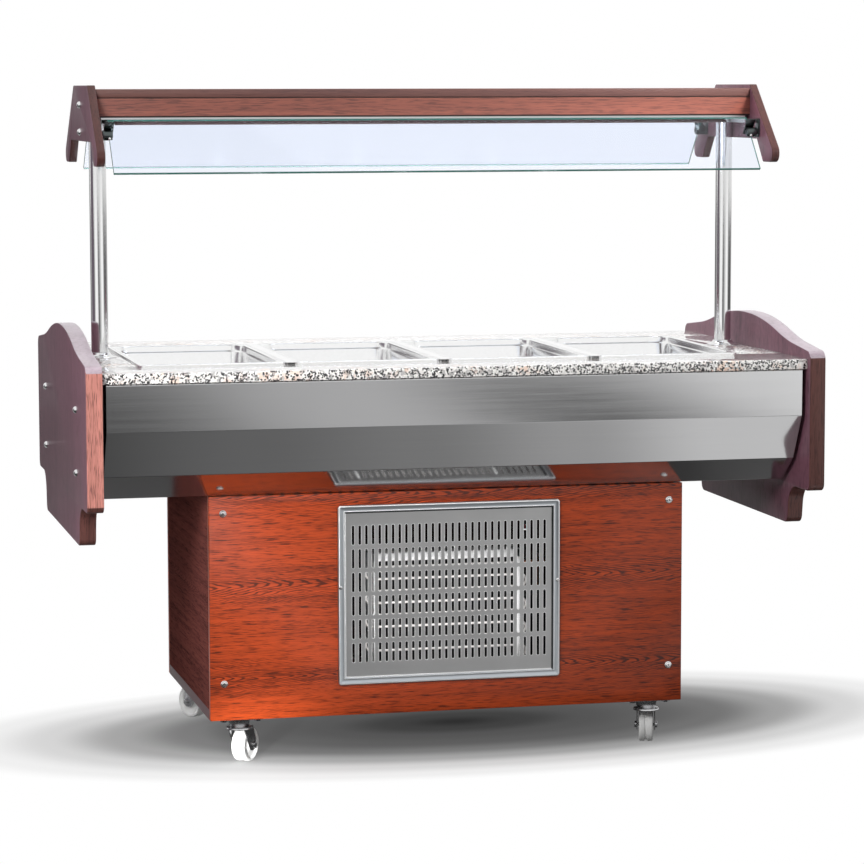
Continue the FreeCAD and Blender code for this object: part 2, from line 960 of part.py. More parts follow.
def grille_frame():
    half = grille_width / 2
    half_height = grille_height / 2
    middle = grille_foot + half_height
    back = outline(rectangle(half, half_height, grille_corner, 0, middle), "y", -half_base_depth)
    inset = grille_bevel
    face_corners = rectangle(half - inset, half_height - inset, grille_corner - inset, 0, middle)
    face = outline(face_corners, "y", -half_base_depth - grille_frame_thickness)
    frame = Part.makeLoft([back, face], True, True)
    opening = rectangle(half - grille_border, half_height - grille_border, 0, 0, middle)
    start = -half_base_depth - grille_frame_thickness
    return [frame.cut(slab(opening, "y", start, grille_frame_thickness))]


def slotted_plate(half, foot, top, slots, face, thickness):
    wires = [outline(rectangle(half, (top - foot) / 2, 0, 0, (top + foot) / 2), "y", face)]
    wires += [outline(slot, "y", face) for slot in slots]
    plate = Part.makeFace(wires, "Part::FaceMakerBullseye")
    return plate.extrude(along_y * thickness)


def grille_plate():
    slots = []
    for column in range(slot_columns):
        for row in range(slot_rows):
            x = (column - (slot_columns - 1) / 2) * slot_pitch_x
            z = grille_foot + grille_border + slot_field_rise + slot_height / 2 + row * slot_pitch_z
            slots.append(rectangle(slot_width / 2, slot_height / 2, 0, x, z))
    margin = grille_border - grille_plate_lap
    foot = grille_foot + margin
    top = grille_foot + grille_height - margin
    return [
        slotted_plate(grille_width / 2 - margin, foot, top, slots, -half_base_depth, grille_plate_sheet)
    ]


def rear_vent_plate():
    slots = []
    foot = frame_foot + rear_vent_rise
    middle = foot + rear_vent_height / 2
    for column in range(rear_slot_columns):
        for row in range(rear_slot_rows):
            x = (column - (rear_slot_columns - 1) / 2) * rear_slot_pitch_x
            z = middle + (row - (rear_slot_rows - 1) / 2) * rear_slot_pitch_z
            slots.append(rectangle(rear_slot_width / 2, rear_slot_height / 2, 0, x, z))
    return [
        slotted_plate(
            rear_vent_width / 2, foot, foot + rear_vent_height, slots, half_base_depth, grille_plate_sheet
        )
    ]


# Controls and power inlet at the rear


def controller_body(clearance):
    half = controller_width / 2 - controller_face - clearance
    middle = frame_foot + controller_rise
    half_height = controller_height / 2 - controller_face - clearance
    return block(
        (controller_x - half, controller_x + half),
        (half_base_depth - controller_depth, half_base_depth),
        (middle - half_height, middle + half_height),
    )


def controller():
    middle = frame_foot + controller_rise
    bezel = rectangle(controller_width / 2, controller_height / 2, controller_face, controller_x, middle)
    return [slab(bezel, "y", half_base_depth, controller_face).fuse(controller_body(controller_fit)).removeSplitter()]


def switch_well():
    middle = frame_foot + controller_rise - switch_drop
    return block(
        (controller_x - switch_width / 2, controller_x + switch_width / 2),
        (half_frame_depth, half_base_depth),
        (middle - switch_height / 2, middle + switch_height / 2),
    )


def rocker_switch():
    # A shallow V of two faces that rocks about an X axis in the panel's cut-out.
    middle = frame_foot + controller_rise - switch_drop
    half = switch_paddle_half
    back = half_base_depth - switch_back
    corners = [
        (back, middle - switch_back_half, 0),
        (back, middle + switch_back_half, 0),
        (half_base_depth - switch_lift / 2, middle + half, 0),
        (half_base_depth + switch_lift, middle + half, 0),
        (half_base_depth + switch_dip, middle, 0),
        (half_base_depth + switch_lift, middle - half, 0),
        (half_base_depth - switch_lift / 2, middle - half, 0),
    ]
    width = switch_width - 2 * switch_travel_gap
    return [slab(corners, "x", controller_x - width / 2, width)]


def cable_gland():
    z = frame_foot + gland_rise
    start = Vector(controller_x, half_base_depth, z)
    nut = hexagon(gland_diameter, start, along_y, gland_nut_length)
    collar = many_sided([(gland_collar_diameter / 2, 0), (gland_mouth_diameter / 2, gland_length)], start, along_y)
    shank = rod(gland_shank_diameter, start, -along_y, board_thickness)
    bore = rod(gland_bore, Vector(controller_x, half_frame_depth, z), along_y, board_thickness + gland_length)
    return [nut.fuse([collar, shank]).cut(bore)]


# Cooling machine


def condenser_coil():
    plate = block((coil_half_width - coil_plate, coil_half_width), (coil_front, coil_back), (floor_top, coil_top))
    flange = block((-coil_half_width, coil_half_width), (coil_front, coil_back), (coil_top - coil_plate, coil_top))
    face = coil_front + coil_fin_margin + coil_tube_diameter / 2
    fins = block(
        (-coil_half_width + coil_plate, coil_half_width - coil_plate),
        (face, coil_back - coil_fin_margin),
        (floor_top + coil_fin_foot, coil_top - coil_fin_foot / 2),
    )
    coil = fins.fuse(left_and_right(plate) + [flange])
    for row in range(coil_tube_count):
        z = floor_top + coil_tube_first + row * coil_tube_pitch
        start = Vector(-coil_half_width, face, z)
        coil = coil.fuse(rod(coil_tube_diameter, start, along_x, 2 * coil_half_width))
    return [coil.removeSplitter()]


def fan_shroud():
    half = coil_half_width
    box = block((-half, half), (coil_back, machine_back), (floor_top, coil_top))
    inside = block(
        (shroud_sheet - half, half - shroud_sheet),
        (coil_back, machine_back - shroud_sheet),
        (floor_top + shroud_sheet, coil_top - shroud_sheet),
    )
    bore = rod(shroud_bore, Vector(0, coil_back, fan_centre), along_y, shroud_depth)
    return [box.cut(inside).cut(bore)]


def fan_motor():
    start = machine_back + motor_gap + fan_hub_length / 2
    body = rod(motor_diameter, Vector(0, start, fan_centre), along_y, motor_length)
    arms = []
    for i in range(motor_arm_count):
        inner = motor_diameter / 2 - motor_gap
        outer = shroud_bore / 2 + motor_arm_width
        reach = block(
            (inner, outer), (start, start + coil_plate), (-motor_arm_width / 2, motor_arm_width / 2)
        )
        foot = block(
            (shroud_bore / 2 + motor_gap, outer),
            (machine_back, start + coil_plate),
            (-motor_arm_width / 2, motor_arm_width / 2),
        )
        arm = reach.fuse(foot)
        turn = FreeCAD.Rotation(along_y, 90 + 360 / motor_arm_count * i)
        arm.Placement = FreeCAD.Placement(Vector(0, 0, fan_centre), turn)
        arms.append(arm)
    motor = body.fuse(arms)
    shaft_length = start - machine_back + fan_hub_length / 2
    shaft = rod(
        fan_shaft_diameter, Vector(0, start - shaft_length, fan_centre), along_y, shaft_length
    )
    return [motor.fuse(shaft).removeSplitter()]


def fan_blade():
    # A flat sector, pitched about its own radius.
    inner = fan_hub_diameter / 2 - fan_blade_thickness
    outer = fan_diameter / 2
    half = math.radians(fan_blade_sweep / 2)

    def rim(radius, turn):
        return Vector(radius * math.cos(turn), 0, radius * math.sin(turn))

    narrow = half / 2
    edges = [
        Part.LineSegment(rim(inner, -narrow), rim(outer, -half)).toShape(),
        Part.Arc(rim(outer, -half), rim(outer, 0), rim(outer, half)).toShape(),
        Part.LineSegment(rim(outer, half), rim(inner, narrow)).toShape(),
        Part.LineSegment(rim(inner, narrow), rim(inner, -narrow)).toShape(),
    ]
    blade = Part.Face(Part.Wire(edges)).extrude(along_y * fan_blade_thickness)
    blade.rotate(centre, along_x, fan_blade_pitch)
    return blade


def fan_rotor():
    middle = machine_back
    start = Vector(0, middle - fan_hub_length / 2, fan_centre)
    hub = rod(fan_hub_diameter, start, along_y, fan_hub_length)
    blades = []
    for i in range(fan_blades):
        blade = fan_blade()
        blade.rotate(centre, along_y, 360 / fan_blades * i)
        blade.translate(Vector(0, middle, fan_centre))
        blades.append(blade)
    bore = rod(fan_shaft_diameter + 2 * turning_clearance, start, along_y, fan_hub_length)
    return [hub.fuse(blades).cut(bore).removeSplitter()]


def compressor():
    radius = compressor_diameter / 2
    foot = floor_top + compressor_pad_height + compressor_foot_sheet
    levels = [
        (radius, 0),
        (radius, compressor_height - compressor_shoulder),
        (radius - compressor_shoulder, compressor_height),
    ]
    pot = many_sided(levels, Vector(compressor_x, compressor_y, foot), along_z)
    half_length = compressor_foot_length / 2
    half_width = compressor_foot_width / 2
    plate = slab(
        rectangle(half_width, half_length, 0, compressor_x, compressor_y),
        "z",
        foot - compressor_foot_sheet,
        compressor_foot_sheet,
    )
    solid = pot.fuse(plate)
    size = compressor_pad_size
    for x in (compressor_x - half_width, compressor_x + half_width - size):
        for y in (compressor_y - half_length, compressor_y + half_length - size):
            solid = solid.fuse(block((x, x + size), (y, y + size), (floor_top, foot - compressor_foot_sheet)))
    return [solid.removeSplitter()]


def mitred_pipe(points):
    path = Part.makePolygon(points)
    section = Part.Wire(Part.makeCircle(pipe_diameter / 2, points[0], points[1] - points[0]))
    return path.makePipeShell([section], True, False, 1)


def refrigerant_pipes():
    # Discharge pipe to the coil, and suction pipe up into the foam.
    pot_top = floor_top + compressor_pad_height + compressor_foot_sheet + compressor_height
    crest = pot_top + pipe_rise
    coil_middle = coil_front + coil_depth / 2
    start_x = compressor_x - pipe_offset
    discharge = mitred_pipe(
        [
            Vector(start_x, compressor_y, pot_top),
            Vector(start_x, compressor_y, crest),
            Vector(start_x, coil_middle, crest),
            Vector(start_x, coil_middle, coil_top - pipe_offset),
            Vector(coil_half_width, coil_middle, coil_top - pipe_offset),
        ]
    )
    suction_start = Vector(compressor_x + pipe_offset, compressor_y, pot_top)
    suction = rod(pipe_diameter, suction_start, along_z, base_top + tank_sheet - pot_top)
    return [discharge, suction]


# Drain


def drain_pipe():
    # A pipe from the well floor through the base to a valve under it.
    outer = drain_pipe_diameter
    flange = drain_hole(drain_flange_diameter, well_floor - drain_flange_thickness, well_floor)
    pipe = drain_hole(outer, drain_outlet_height, well_floor)
    valve_foot = drain_outlet_height + drain_stub_length
    valve = drain_hole(drain_valve_diameter, valve_foot, valve_foot + drain_valve_length)
    solid = pipe.fuse([flange, valve])
    solid = solid.cut(drain_hole(outer - 2 * drain_wall, drain_outlet_height, well_floor))
    stem_place = Vector(drain_x, drain_y + drain_valve_diameter / 2, drain_stem_height())
    socket = rod(drain_socket_diameter, stem_place - along_y * drain_wall, along_y, 2 * drain_wall)
    return [solid.fuse(socket).cut(stem_bore()).removeSplitter()]


def drain_stem_height():
    return drain_outlet_height + drain_stub_length + drain_valve_length / 2


def stem_bore():
    start = Vector(drain_x, drain_y + drain_valve_diameter / 2 - drain_wall / 2, drain_stem_height())
    return rod(drain_stem_diameter + 2 * turning_clearance, start, along_y, 2 * drain_wall)


def drain_lever():
    # A flat handle that lies across the pipe when shut and turns about its stem along Y.
    hub = Vector(drain_x, drain_y + drain_valve_diameter / 2, drain_stem_height())
    stem = rod(drain_stem_diameter, hub, along_y, drain_stem_length)
    half = drain_lever_width / 2
    start = hub.y + drain_stem_length
    middle = drain_x + (drain_lever_length - half) / 2
    corners = rectangle((drain_lever_length + half) / 2, half, half - corner_gap, middle, hub.z)
    handle = slab(corners, "y", start, drain_lever_thickness, corner_chords)
    return [stem.fuse(handle).removeSplitter()]


# Castors, drawn with the trail along +X and then turned


def castor_frame(name):
    sign_x = -1 if name[1] == "l" else 1
    sign_y = -1 if name[0] == "f" else 1
    pivot = Vector(sign_x * castor_reach_x, sign_y * castor_reach_y, 0)
    return FreeCAD.Placement(pivot, FreeCAD.Rotation(along_z, castor_headings[name]))


def crown_top():
    return wheel_diameter + crown_clearance + crown_thickness


def castor_plate():
    plate_foot = castor_height - castor_plate_thickness
    half_length = castor_plate_length / 2
    half_width = castor_plate_width / 2
    corners = rectangle(half_length, half_width)
    plate = slab(corners, "z", plate_foot, castor_plate_thickness)
    race_foot = crown_top() + race_gap
    race = [(race_foot_diameter / 2, 0), (race_diameter / 2, plate_foot - race_foot)]
    solid = plate.fuse(many_sided(race, Vector(0, 0, race_foot), along_z))
    head_top = crown_top() - crown_thickness - race_gap
    pin = rod(kingpin_diameter, Vector(0, 0, head_top), along_z, race_foot - head_top)
    head = rod(
        kingpin_head_diameter, Vector(0, 0, head_top - kingpin_head_height), along_z, kingpin_head_height
    )
    solid = solid.fuse([pin, head])
    for x in (castor_bolt_inset - half_length, half_length - castor_bolt_inset):
        for y in (castor_bolt_inset - half_width, half_width - castor_bolt_inset):
            start = Vector(x, y, plate_foot - castor_bolt_height)
            solid = solid.fuse(hexagon(castor_bolt_flats, start, along_z, castor_bolt_height))
    return solid.removeSplitter()


def castor_plates():
    corner = Vector(castor_reach_x, castor_reach_y, 0)
    return four_ways(castor_plate().translated(corner))


def castor_fork():
    # A pressed crown with two tapered legs, and the axle bolt through their feet.
    under = crown_top() - crown_thickness
    radius = crown_diameter / 2
    crown = many_sided([(radius, 0), (radius, crown_thickness)], Vector(0, 0, under), along_z)
    half_outer = fork_inner_width / 2 + fork_sheet
    front = fork_leg_top_length - radius
    bridge = block((-fork_leg_back, front), (-half_outer, half_outer), (under, crown_top()))
    axle = Vector(castor_trail, 0, wheel_diameter / 2)
    foot = fork_leg_foot_radius
    leg_corners = [
        (-fork_leg_back, crown_top(), fork_sheet),
        (front, crown_top(), fork_sheet),
        (axle.x + foot, axle.z + foot, foot),
        (axle.x + foot, axle.z - foot, foot - corner_gap),
        (axle.x - foot, axle.z - foot, foot - corner_gap),
    ]
    leg = slab(leg_corners, "y", fork_inner_width / 2, fork_sheet, corner_chords)
    fork = crown.fuse([bridge] + front_and_rear(leg))
    bore = rod(kingpin_diameter + 2 * turning_clearance, Vector(0, 0, under), along_z, crown_thickness)
    bolt_start = axle - along_y * (half_outer + axle_head_height)
    bolt = rod(axle_diameter, bolt_start, along_y, 2 * (half_outer + axle_head_height))
    head = hexagon(axle_head_flats, bolt_start, along_y, axle_head_height)
    return fork.cut(bore).fuse([bolt] + front_and_rear(head)).removeSplitter()


def castor_wheel():
    start = Vector(castor_trail, -wheel_width / 2, wheel_diameter / 2)
    wheel = rod(wheel_diameter, start, along_y, wheel_width)
    return wheel.cut(rod(axle_diameter + 2 * turning_clearance, start, along_y, wheel_width))


def castors():
    pieces = {"castor_plates": castor_plates()}
    for name in castor_headings:
        for kind, shape in (("fork", castor_fork()), ("wheel", castor_wheel())):
            shape.Placement = castor_frame(name).multiply(shape.Placement)
            pieces[f"castor_{kind}_{name}"] = [shape]
    return pieces


def all_pieces():
    pieces = {
        "canopy_top_board": canopy_top_board(),
        "canopy_fascias": canopy_fascias(),
        "canopy_tray": canopy_tray(),
        "lamp_lens": lamp_lens(),
        "post_collars": post_collars(),
        "well_liner": well_liner(),
        "pan_bars": pan_bars(),
        "tank_floor": tank_floor(),
        "tank_ends": tank_ends(),
        "insulation": insulation(),
        "dome_bolts": dome_bolts(),
        "base_frame": base_frame(),
        "base_front_panel": [base_front_panel()],
        "base_rear_panel": [base_rear_panel()],
        "panel_screws": panel_screws(),
        "grille_frame": grille_frame(),
        "grille_plate": grille_plate(),
        "rear_vent_plate": rear_vent_plate(),
        "condenser_coil": condenser_coil(),
        "fan_shroud": fan_shroud(),
        "fan_motor": fan_motor(),
        "fan_rotor": fan_rotor(),
        "compressor": compressor(),
        "refrigerant_pipes": refrigerant_pipes(),
        "controller": controller(),
        "rocker_switch": rocker_switch(),
        "cable_gland": cable_gland(),
        "drain_pipe": drain_pipe(),
        "drain_lever": drain_lever(),
    }
    groups = (brackets, posts, glass_pieces, counter_pieces, pans, tank_skins, end_panels, base_side_panels, castors)
    for group in groups:
        pieces.update(group())
    return pieces


os.makedirs("parts", exist_ok=True)
for name, solids in all_pieces().items():
    shape = solids[0] if len(solids) == 1 else Part.makeCompound(solids)
    shape.exportStep(f"parts/{name}.step")
    print(name, len(shape.Solids), round(shape.Volume), shape.isValid())
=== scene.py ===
import json
import math

import bmesh
import bpy
from mathutils import Matrix, Vector

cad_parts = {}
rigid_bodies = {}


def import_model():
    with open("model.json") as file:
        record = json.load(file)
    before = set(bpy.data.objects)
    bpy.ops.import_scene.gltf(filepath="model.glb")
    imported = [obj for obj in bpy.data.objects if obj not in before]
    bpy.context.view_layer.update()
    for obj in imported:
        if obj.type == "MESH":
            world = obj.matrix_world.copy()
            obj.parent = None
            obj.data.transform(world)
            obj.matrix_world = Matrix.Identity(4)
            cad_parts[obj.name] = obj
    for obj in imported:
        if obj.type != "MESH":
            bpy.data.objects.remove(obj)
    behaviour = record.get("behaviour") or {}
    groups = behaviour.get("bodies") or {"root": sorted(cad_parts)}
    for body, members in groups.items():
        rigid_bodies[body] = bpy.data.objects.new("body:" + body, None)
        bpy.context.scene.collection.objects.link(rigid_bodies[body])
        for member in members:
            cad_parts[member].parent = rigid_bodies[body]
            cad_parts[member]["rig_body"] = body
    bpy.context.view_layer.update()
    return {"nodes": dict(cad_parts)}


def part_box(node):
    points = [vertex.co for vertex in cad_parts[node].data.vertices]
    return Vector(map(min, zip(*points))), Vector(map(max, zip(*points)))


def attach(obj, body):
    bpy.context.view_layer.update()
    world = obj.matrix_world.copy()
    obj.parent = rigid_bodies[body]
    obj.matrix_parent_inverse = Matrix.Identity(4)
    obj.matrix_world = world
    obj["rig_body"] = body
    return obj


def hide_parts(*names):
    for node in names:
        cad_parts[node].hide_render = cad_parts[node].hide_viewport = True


# A mobile refrigerated salad bar, dressed over its CAD model. Metres, front towards -Y.

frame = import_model()
cadNodes = frame["nodes"]
print("frame loaded:", len(cadNodes), "nodes")


# Camera, floor and light

cameraValues = {
    "place": (-1.6406, -7.1809, 1.4789),
    "yaw": 13.1141,  # degrees turned right from +Y
    "pitch": 6.0824,  # degrees down
    "roll": -0.1084,
    "lens": 134.53,
}


def placeCamera():
    yaw, pitch, roll = [math.radians(cameraValues[key]) for key in ("yaw", "pitch", "roll")]
    ahead = Vector((math.sin(yaw) * math.cos(pitch), math.cos(yaw) * math.cos(pitch), -math.sin(pitch)))
    right = Vector((math.cos(yaw), -math.sin(yaw), 0))
    up = right.cross(ahead)
    turnedRight = right * math.cos(roll) + up * math.sin(roll)
    turnedUp = up * math.cos(roll) - right * math.sin(roll)
    matrix = Matrix((turnedRight, turnedUp, -ahead)).transposed().to_4x4()
    matrix.translation = cameraValues["place"]
    data = bpy.data.cameras.new("camera")
    data.lens = cameraValues["lens"]
    data.sensor_width = 36
    data.clip_end = 200
    camera = bpy.data.objects.new("camera", data)
    camera.matrix_world = matrix
    bpy.context.scene.collection.objects.link(camera)
    bpy.context.scene.camera = camera


stageValues = {
    "floorSize": 60.0,
    "floorPaper": 0.45,
    # The paper's painted soft shade, an oval in the camera's directions: its middle, reach and slant, and how light
    # it is from the middle out. A part of it still takes the lamps' light and shadows.
    "shadeMiddle": (0.086, 0.101),
    "shadeReach": (1.243, 0.65),
    "shadeSlant": 0.212,
    "shadeStops": (
        (0, 0.04), (0.125, 0.075), (0.25, 0.125), (0.375, 0.15), (0.5, 0.21), (0.625, 0.38), (0.75, 0.65),
        (0.875, 0.84), (1, 1.0),
    ),
    "shadowShare": 0.3,
    "shadowLift": 1.9,
    "skyLight": 0.30,
    # how light the floor in front is in reflections, from left to right, far out and close by
    "farSheen": (
        (-0.3, 0.105), (0.02, 0.135), (0.3, 0.30), (0.6, 0.62), (0.8, 0.68), (1.17, 0.70), (1.4, 0.42), (1.6, 0.14),
        (1.9, 0.13), (2.1, 0.26), (2.35, 0.72), (2.6, 1.1),
    ),
    "nearSheen": ((-0.9, 0.07), (-0.3, 0.2), (0.1, 0.3), (0.5, 0.5), (0.85, 0.85), (1.2, 0.9)),
    "shadeSheen": 0.035,  # under the unit
    # where these take over from one another: near from far and shade from near along Y, the far surroundings by
    # the distance, and the whole glow along Y
    "nearRange": (-2.0, -1.0),
    "shadeRange": (-0.64, -0.5),
    "roundRange": (7.4, 8.0),
    "glowRange": (0.6, -0.4),
    # how light the far surroundings are in reflections, by the angle from straight ahead to the right
    "roundSheen": (
        (-180, 0.5), (-120, 0.42), (-95, 0.26), (-72, 0.17), (-62, 0.8), (-54, 1.2), (-26, 1.2), (-20, 0.16),
        (-9, 0.12), (2, 0.42), (16, 0.85), (27, 1.2), (50, 1.2), (58, 0.3), (74, 0.06), (96, 0.06), (112, 0.3),
        (140, 0.6), (180, 0.5),
    ),
    # name: place, point it looks at, width, height, watts, spread in degrees
    "lamps": {
        "keyLamp": ((-1.5, -1.75, 1.6), (-0.45, -0.3, 0.62), 0.7, 0.7, 23, 150),
        "canopyLamp": ((1.5, -1.5, 2.1), (0.5, -0.13, 1.46), 0.5, 0.5, 6, 60),
        "topLamp": ((0.2, 0.3, 3.2), (0, 0, 0.8), 2.6, 1.4, 48, 150),
        "wheelLamp": ((-1.3, -2.2, 0.16), (-0.45, -0.3, 0.0), 0.15, 0.15, 0.45, 10),
        "panelLamp": ((-1.2, -2.3, 0.9), (-0.40, -0.3, 0.46), 0.4, 0.4, 0.75, 28),
        "endLamp": ((-1.35, -0.95, 0.85), (-0.83, -0.36, 0.74), 0.2, 0.2, 0.35, 90),
        "coilLamp": ((0, -0.292, 0.33), (0, -0.25, 0.33), 0.34, 0.2, 0.5, 170),
    },
    # name: middle, point it faces, width, height, colour; only reflections see them
    "flags": {
        "leftFlag": ((-4.6, 0.4, 1.3), (-0.5, 0, 1.0), 3.2, 2.6, (0.17, 0.14, 0.17, 1)),
        "rearFlag": ((-2.9, 6.5, 1.0), (-0.8, 0, 0.7), 3.6, 3.0, (0.12, 0.11, 0.12, 1)),
    },
}


def aimed(place, target):
    turn = (Vector(target) - Vector(place)).to_track_quat("-Z", "Y")
    return Matrix.Translation(place) @ turn.to_matrix().to_4x4()


def plainTree(material):
    material.use_nodes = True
    material.node_tree.nodes.clear()
    return material.node_tree


def addNode(tree, kind, inputs=None, **settings):
    # Inputs are values or the output sockets of other nodes.
    node = tree.nodes.new(kind)
    for key, value in settings.items():
        setattr(node, key, value)
    for key, value in (inputs or {}).items():
        if isinstance(value, bpy.types.NodeSocket):
            tree.links.new(value, node.inputs[key])
        else:
            node.inputs[key].default_value = value
    return node


def maths(tree, operation, first, second=0.0, third=0.0):
    node = addNode(tree, "ShaderNodeMath", {0: first, 1: second, 2: third}, operation=operation)
    return node.outputs[0]


def fromTo(tree, value, limits, **settings):
    # How far a value is on its way between two limits.
    values = {"Value": value, "From Min": limits[0], "From Max": limits[1]}
    return addNode(tree, "ShaderNodeMapRange", values, **settings).outputs[0]


def sheenRamp(tree, value, stops):
    low, high = stops[0][0], stops[-1][0]
    ramp = addNode(tree, "ShaderNodeValToRGB", {0: fromTo(tree, value, (low, high))})
    ramp.color_ramp.interpolation = "EASE"
    elements = ramp.color_ramp.elements
    for i, (place, grey) in enumerate(stops):
        share = (place - low) / (high - low)
        element = elements[i] if i < 2 else elements.new(share)
        element.position = share
        element.color = (grey, grey, grey, 1)
    return ramp.outputs[0]


def stageSheet(name, materialName, width, height, matrix):
    # A flat sheet of the stage. Gives its object and the empty tree of its material.
    bm = bmesh.new()
    bmesh.ops.create_grid(bm, x_segments=1, y_segments=1, size=0.5)
    bmesh.ops.scale(bm, vec=(width, height, 1), verts=bm.verts)
    bmesh.ops.transform(bm, matrix=matrix, verts=bm.verts)
    mesh = bpy.data.meshes.new(name)
    bm.to_mesh(mesh)
    bm.free()
    sheet = bpy.data.objects.new(name, mesh)
    bpy.context.scene.collection.objects.link(sheet)
    material = bpy.data.materials.new(materialName)
    mesh.materials.append(material)
    return sheet, plainTree(material)


def makeStage():
    size = stageValues["floorSize"]
    floor, tree = stageSheet("floor", "floorPaper", size, size, Matrix.Identity(4))
    path = addNode(tree, "ShaderNodeLightPath").outputs
    place = addNode(tree, "ShaderNodeTexCoord").outputs["Object"]
    parts = addNode(tree, "ShaderNodeSeparateXYZ", {0: place}).outputs
    far = sheenRamp(tree, parts["X"], stageValues["farSheen"])
    near = sheenRamp(tree, parts["X"], stageValues["nearSheen"])
    distance = fromTo(tree, parts["Y"], stageValues["nearRange"], interpolation_type="SMOOTHSTEP")
    sheen = addNode(tree, "ShaderNodeMix", {0: distance, 2: far, 3: near}).outputs[0]
    under = fromTo(tree, parts["Y"], stageValues["shadeRange"])
    sheen = addNode(tree, "ShaderNodeMix", {0: under, 2: sheen, 3: stageValues["shadeSheen"]}).outputs[0]
    reach = addNode(tree, "ShaderNodeVectorMath", {0: place}, operation="LENGTH").outputs["Value"]
    farOff = fromTo(tree, reach, stageValues["roundRange"])
    around = maths(tree, "ARCTAN2", parts["X"], maths(tree, "MULTIPLY", parts["Y"], -1.0))
    around = sheenRamp(tree, maths(tree, "DEGREES", around), stageValues["roundSheen"])
    sheen = addNode(tree, "ShaderNodeMix", {0: farOff, 2: sheen, 3: around}).outputs[0]
    paper = addNode(tree, "ShaderNodeBsdfDiffuse", {"Color": (stageValues["floorPaper"],) * 3 + (1,)})
    gloss = addNode(tree, "ShaderNodeEmission", {"Strength": sheen})
    shown = maths(tree, "MAXIMUM", fromTo(tree, parts["Y"], stageValues["glowRange"]), farOff)
    share = maths(tree, "MULTIPLY", path["Is Glossy Ray"], shown)
    both = addNode(tree, "ShaderNodeMixShader", {0: share, 1: paper.outputs[0], 2: gloss.outputs[0]})
    turned = addNode(
        tree, "ShaderNodeVectorRotate", {"Vector": place, "Angle": math.radians(cameraValues["yaw"])},
        rotation_type="Z_AXIS",
    )
    spot = addNode(tree, "ShaderNodeSeparateXYZ", {0: turned.outputs[0]}).outputs
    (middleX, middleY), (reachX, reachY) = stageValues["shadeMiddle"], stageValues["shadeReach"]
    aside = maths(tree, "SUBTRACT", spot["X"], middleX)
    away = maths(tree, "SUBTRACT", spot["Y"], middleY)
    away = maths(tree, "MULTIPLY_ADD", aside, -stageValues["shadeSlant"], away)
    aside, away = [maths(tree, "DIVIDE", value, size) for value, size in ((aside, reachX), (away, reachY))]
    oval = maths(tree, "SQRT", maths(tree, "ADD", maths(tree, "POWER", aside, 2), maths(tree, "POWER", away, 2)))
    shade = sheenRamp(tree, oval, stageValues["shadeStops"])
    seen = maths(tree, "MAXIMUM", path["Is Camera Ray"], path["Is Transmission Ray"])
    glow = addNode(tree, "ShaderNodeEmission", {"Strength": shade})
    lit = addNode(
        tree, "ShaderNodeBsdfDiffuse", {"Color": maths(tree, "MULTIPLY", shade, stageValues["shadowLift"])}
    )
    inside = fromTo(tree, oval, (1.0, 0.6))
    share = maths(tree, "MULTIPLY", inside, stageValues["shadowShare"])
    shown = addNode(tree, "ShaderNodeMixShader", {0: share, 1: glow.outputs[0], 2: lit.outputs[0]})
    both = addNode(tree, "ShaderNodeMixShader", {0: seen, 1: both.outputs[0], 2: shown.outputs[0]})
    addNode(tree, "ShaderNodeOutputMaterial", {"Surface": both.outputs[0]})
    for name, (place, target, width, height, power, spread) in stageValues["lamps"].items():
        lamp = bpy.data.lights.new(name, "AREA")
        lamp.shape = "RECTANGLE"
        lamp.size = width
        lamp.size_y = height
        lamp.energy = power
        lamp.spread = math.radians(spread)
        lampObject = bpy.data.objects.new(name, lamp)
        lampObject.matrix_world = aimed(place, target)
        lampObject.visible_camera = False
        lampObject.visible_glossy = False
        bpy.context.scene.collection.objects.link(lampObject)
    for name, (place, target, width, height, colour) in stageValues["flags"].items():
        flag, tree = stageSheet(name, name, width, height, aimed(place, target))
        shade = addNode(tree, "ShaderNodeEmission", {"Color": colour})
        addNode(tree, "ShaderNodeOutputMaterial", {"Surface": shade.outputs[0]})
        for sight in ("visible_camera", "visible_diffuse", "visible_shadow", "visible_transmission"):
            setattr(flag, sight, False)
    world = bpy.data.worlds.new("studio")
    bpy.context.scene.world = world
    tree = plainTree(world)
    path = addNode(tree, "ShaderNodeLightPath")
    seen = maths(tree, "MAXIMUM", path.outputs["Is Camera Ray"], path.outputs["Is Glossy Ray"])
    seen = maths(tree, "MAXIMUM", seen, path.outputs["Is Transmission Ray"])
    light = maths(tree, "MULTIPLY_ADD", seen, 1 - stageValues["skyLight"], stageValues["skyLight"])
    sky = addNode(tree, "ShaderNodeBackground", {"Color": (1, 1, 1, 1), "Strength": light})
    addNode(tree, "ShaderNodeOutputWorld", {"Surface": sky.outputs[0]})
    bpy.context.scene.view_settings.view_transform = "Standard"


placeCamera()
makeStage()
print("camera, floor and light ready")


# Shared effects


surfaceSockets = {"Color": "NodeSocketColor", "Roughness": "NodeSocketFloat", "Height": "NodeSocketFloat"}


def newGroup(name, inputs, outputs):
    # Inputs are name: value, where a vector has three numbers and a colour four.
    tree = bpy.data.node_groups.new(name, "ShaderNodeTree")
    for key, value in inputs.items():
        size = len(value) if hasattr(value, "__len__") else 1
        kind = {1: "NodeSocketFloat", 3: "NodeSocketVector", 4: "NodeSocketColor"}[size]
        tree.interface.new_socket(name=key, in_out="INPUT", socket_type=kind).default_value = value
    for key, kind in outputs.items():
        tree.interface.new_socket(name=key, in_out="OUTPUT", socket_type=kind)
    start = addNode(tree, "NodeGroupInput")
    end = addNode(tree, "NodeGroupOutput")
    return tree, start.outputs, end.inputs


def stretched(tree, vector, scale):
    return addNode(tree, "ShaderNodeMapping", {"Vector": vector, "Scale": scale}).outputs[0]


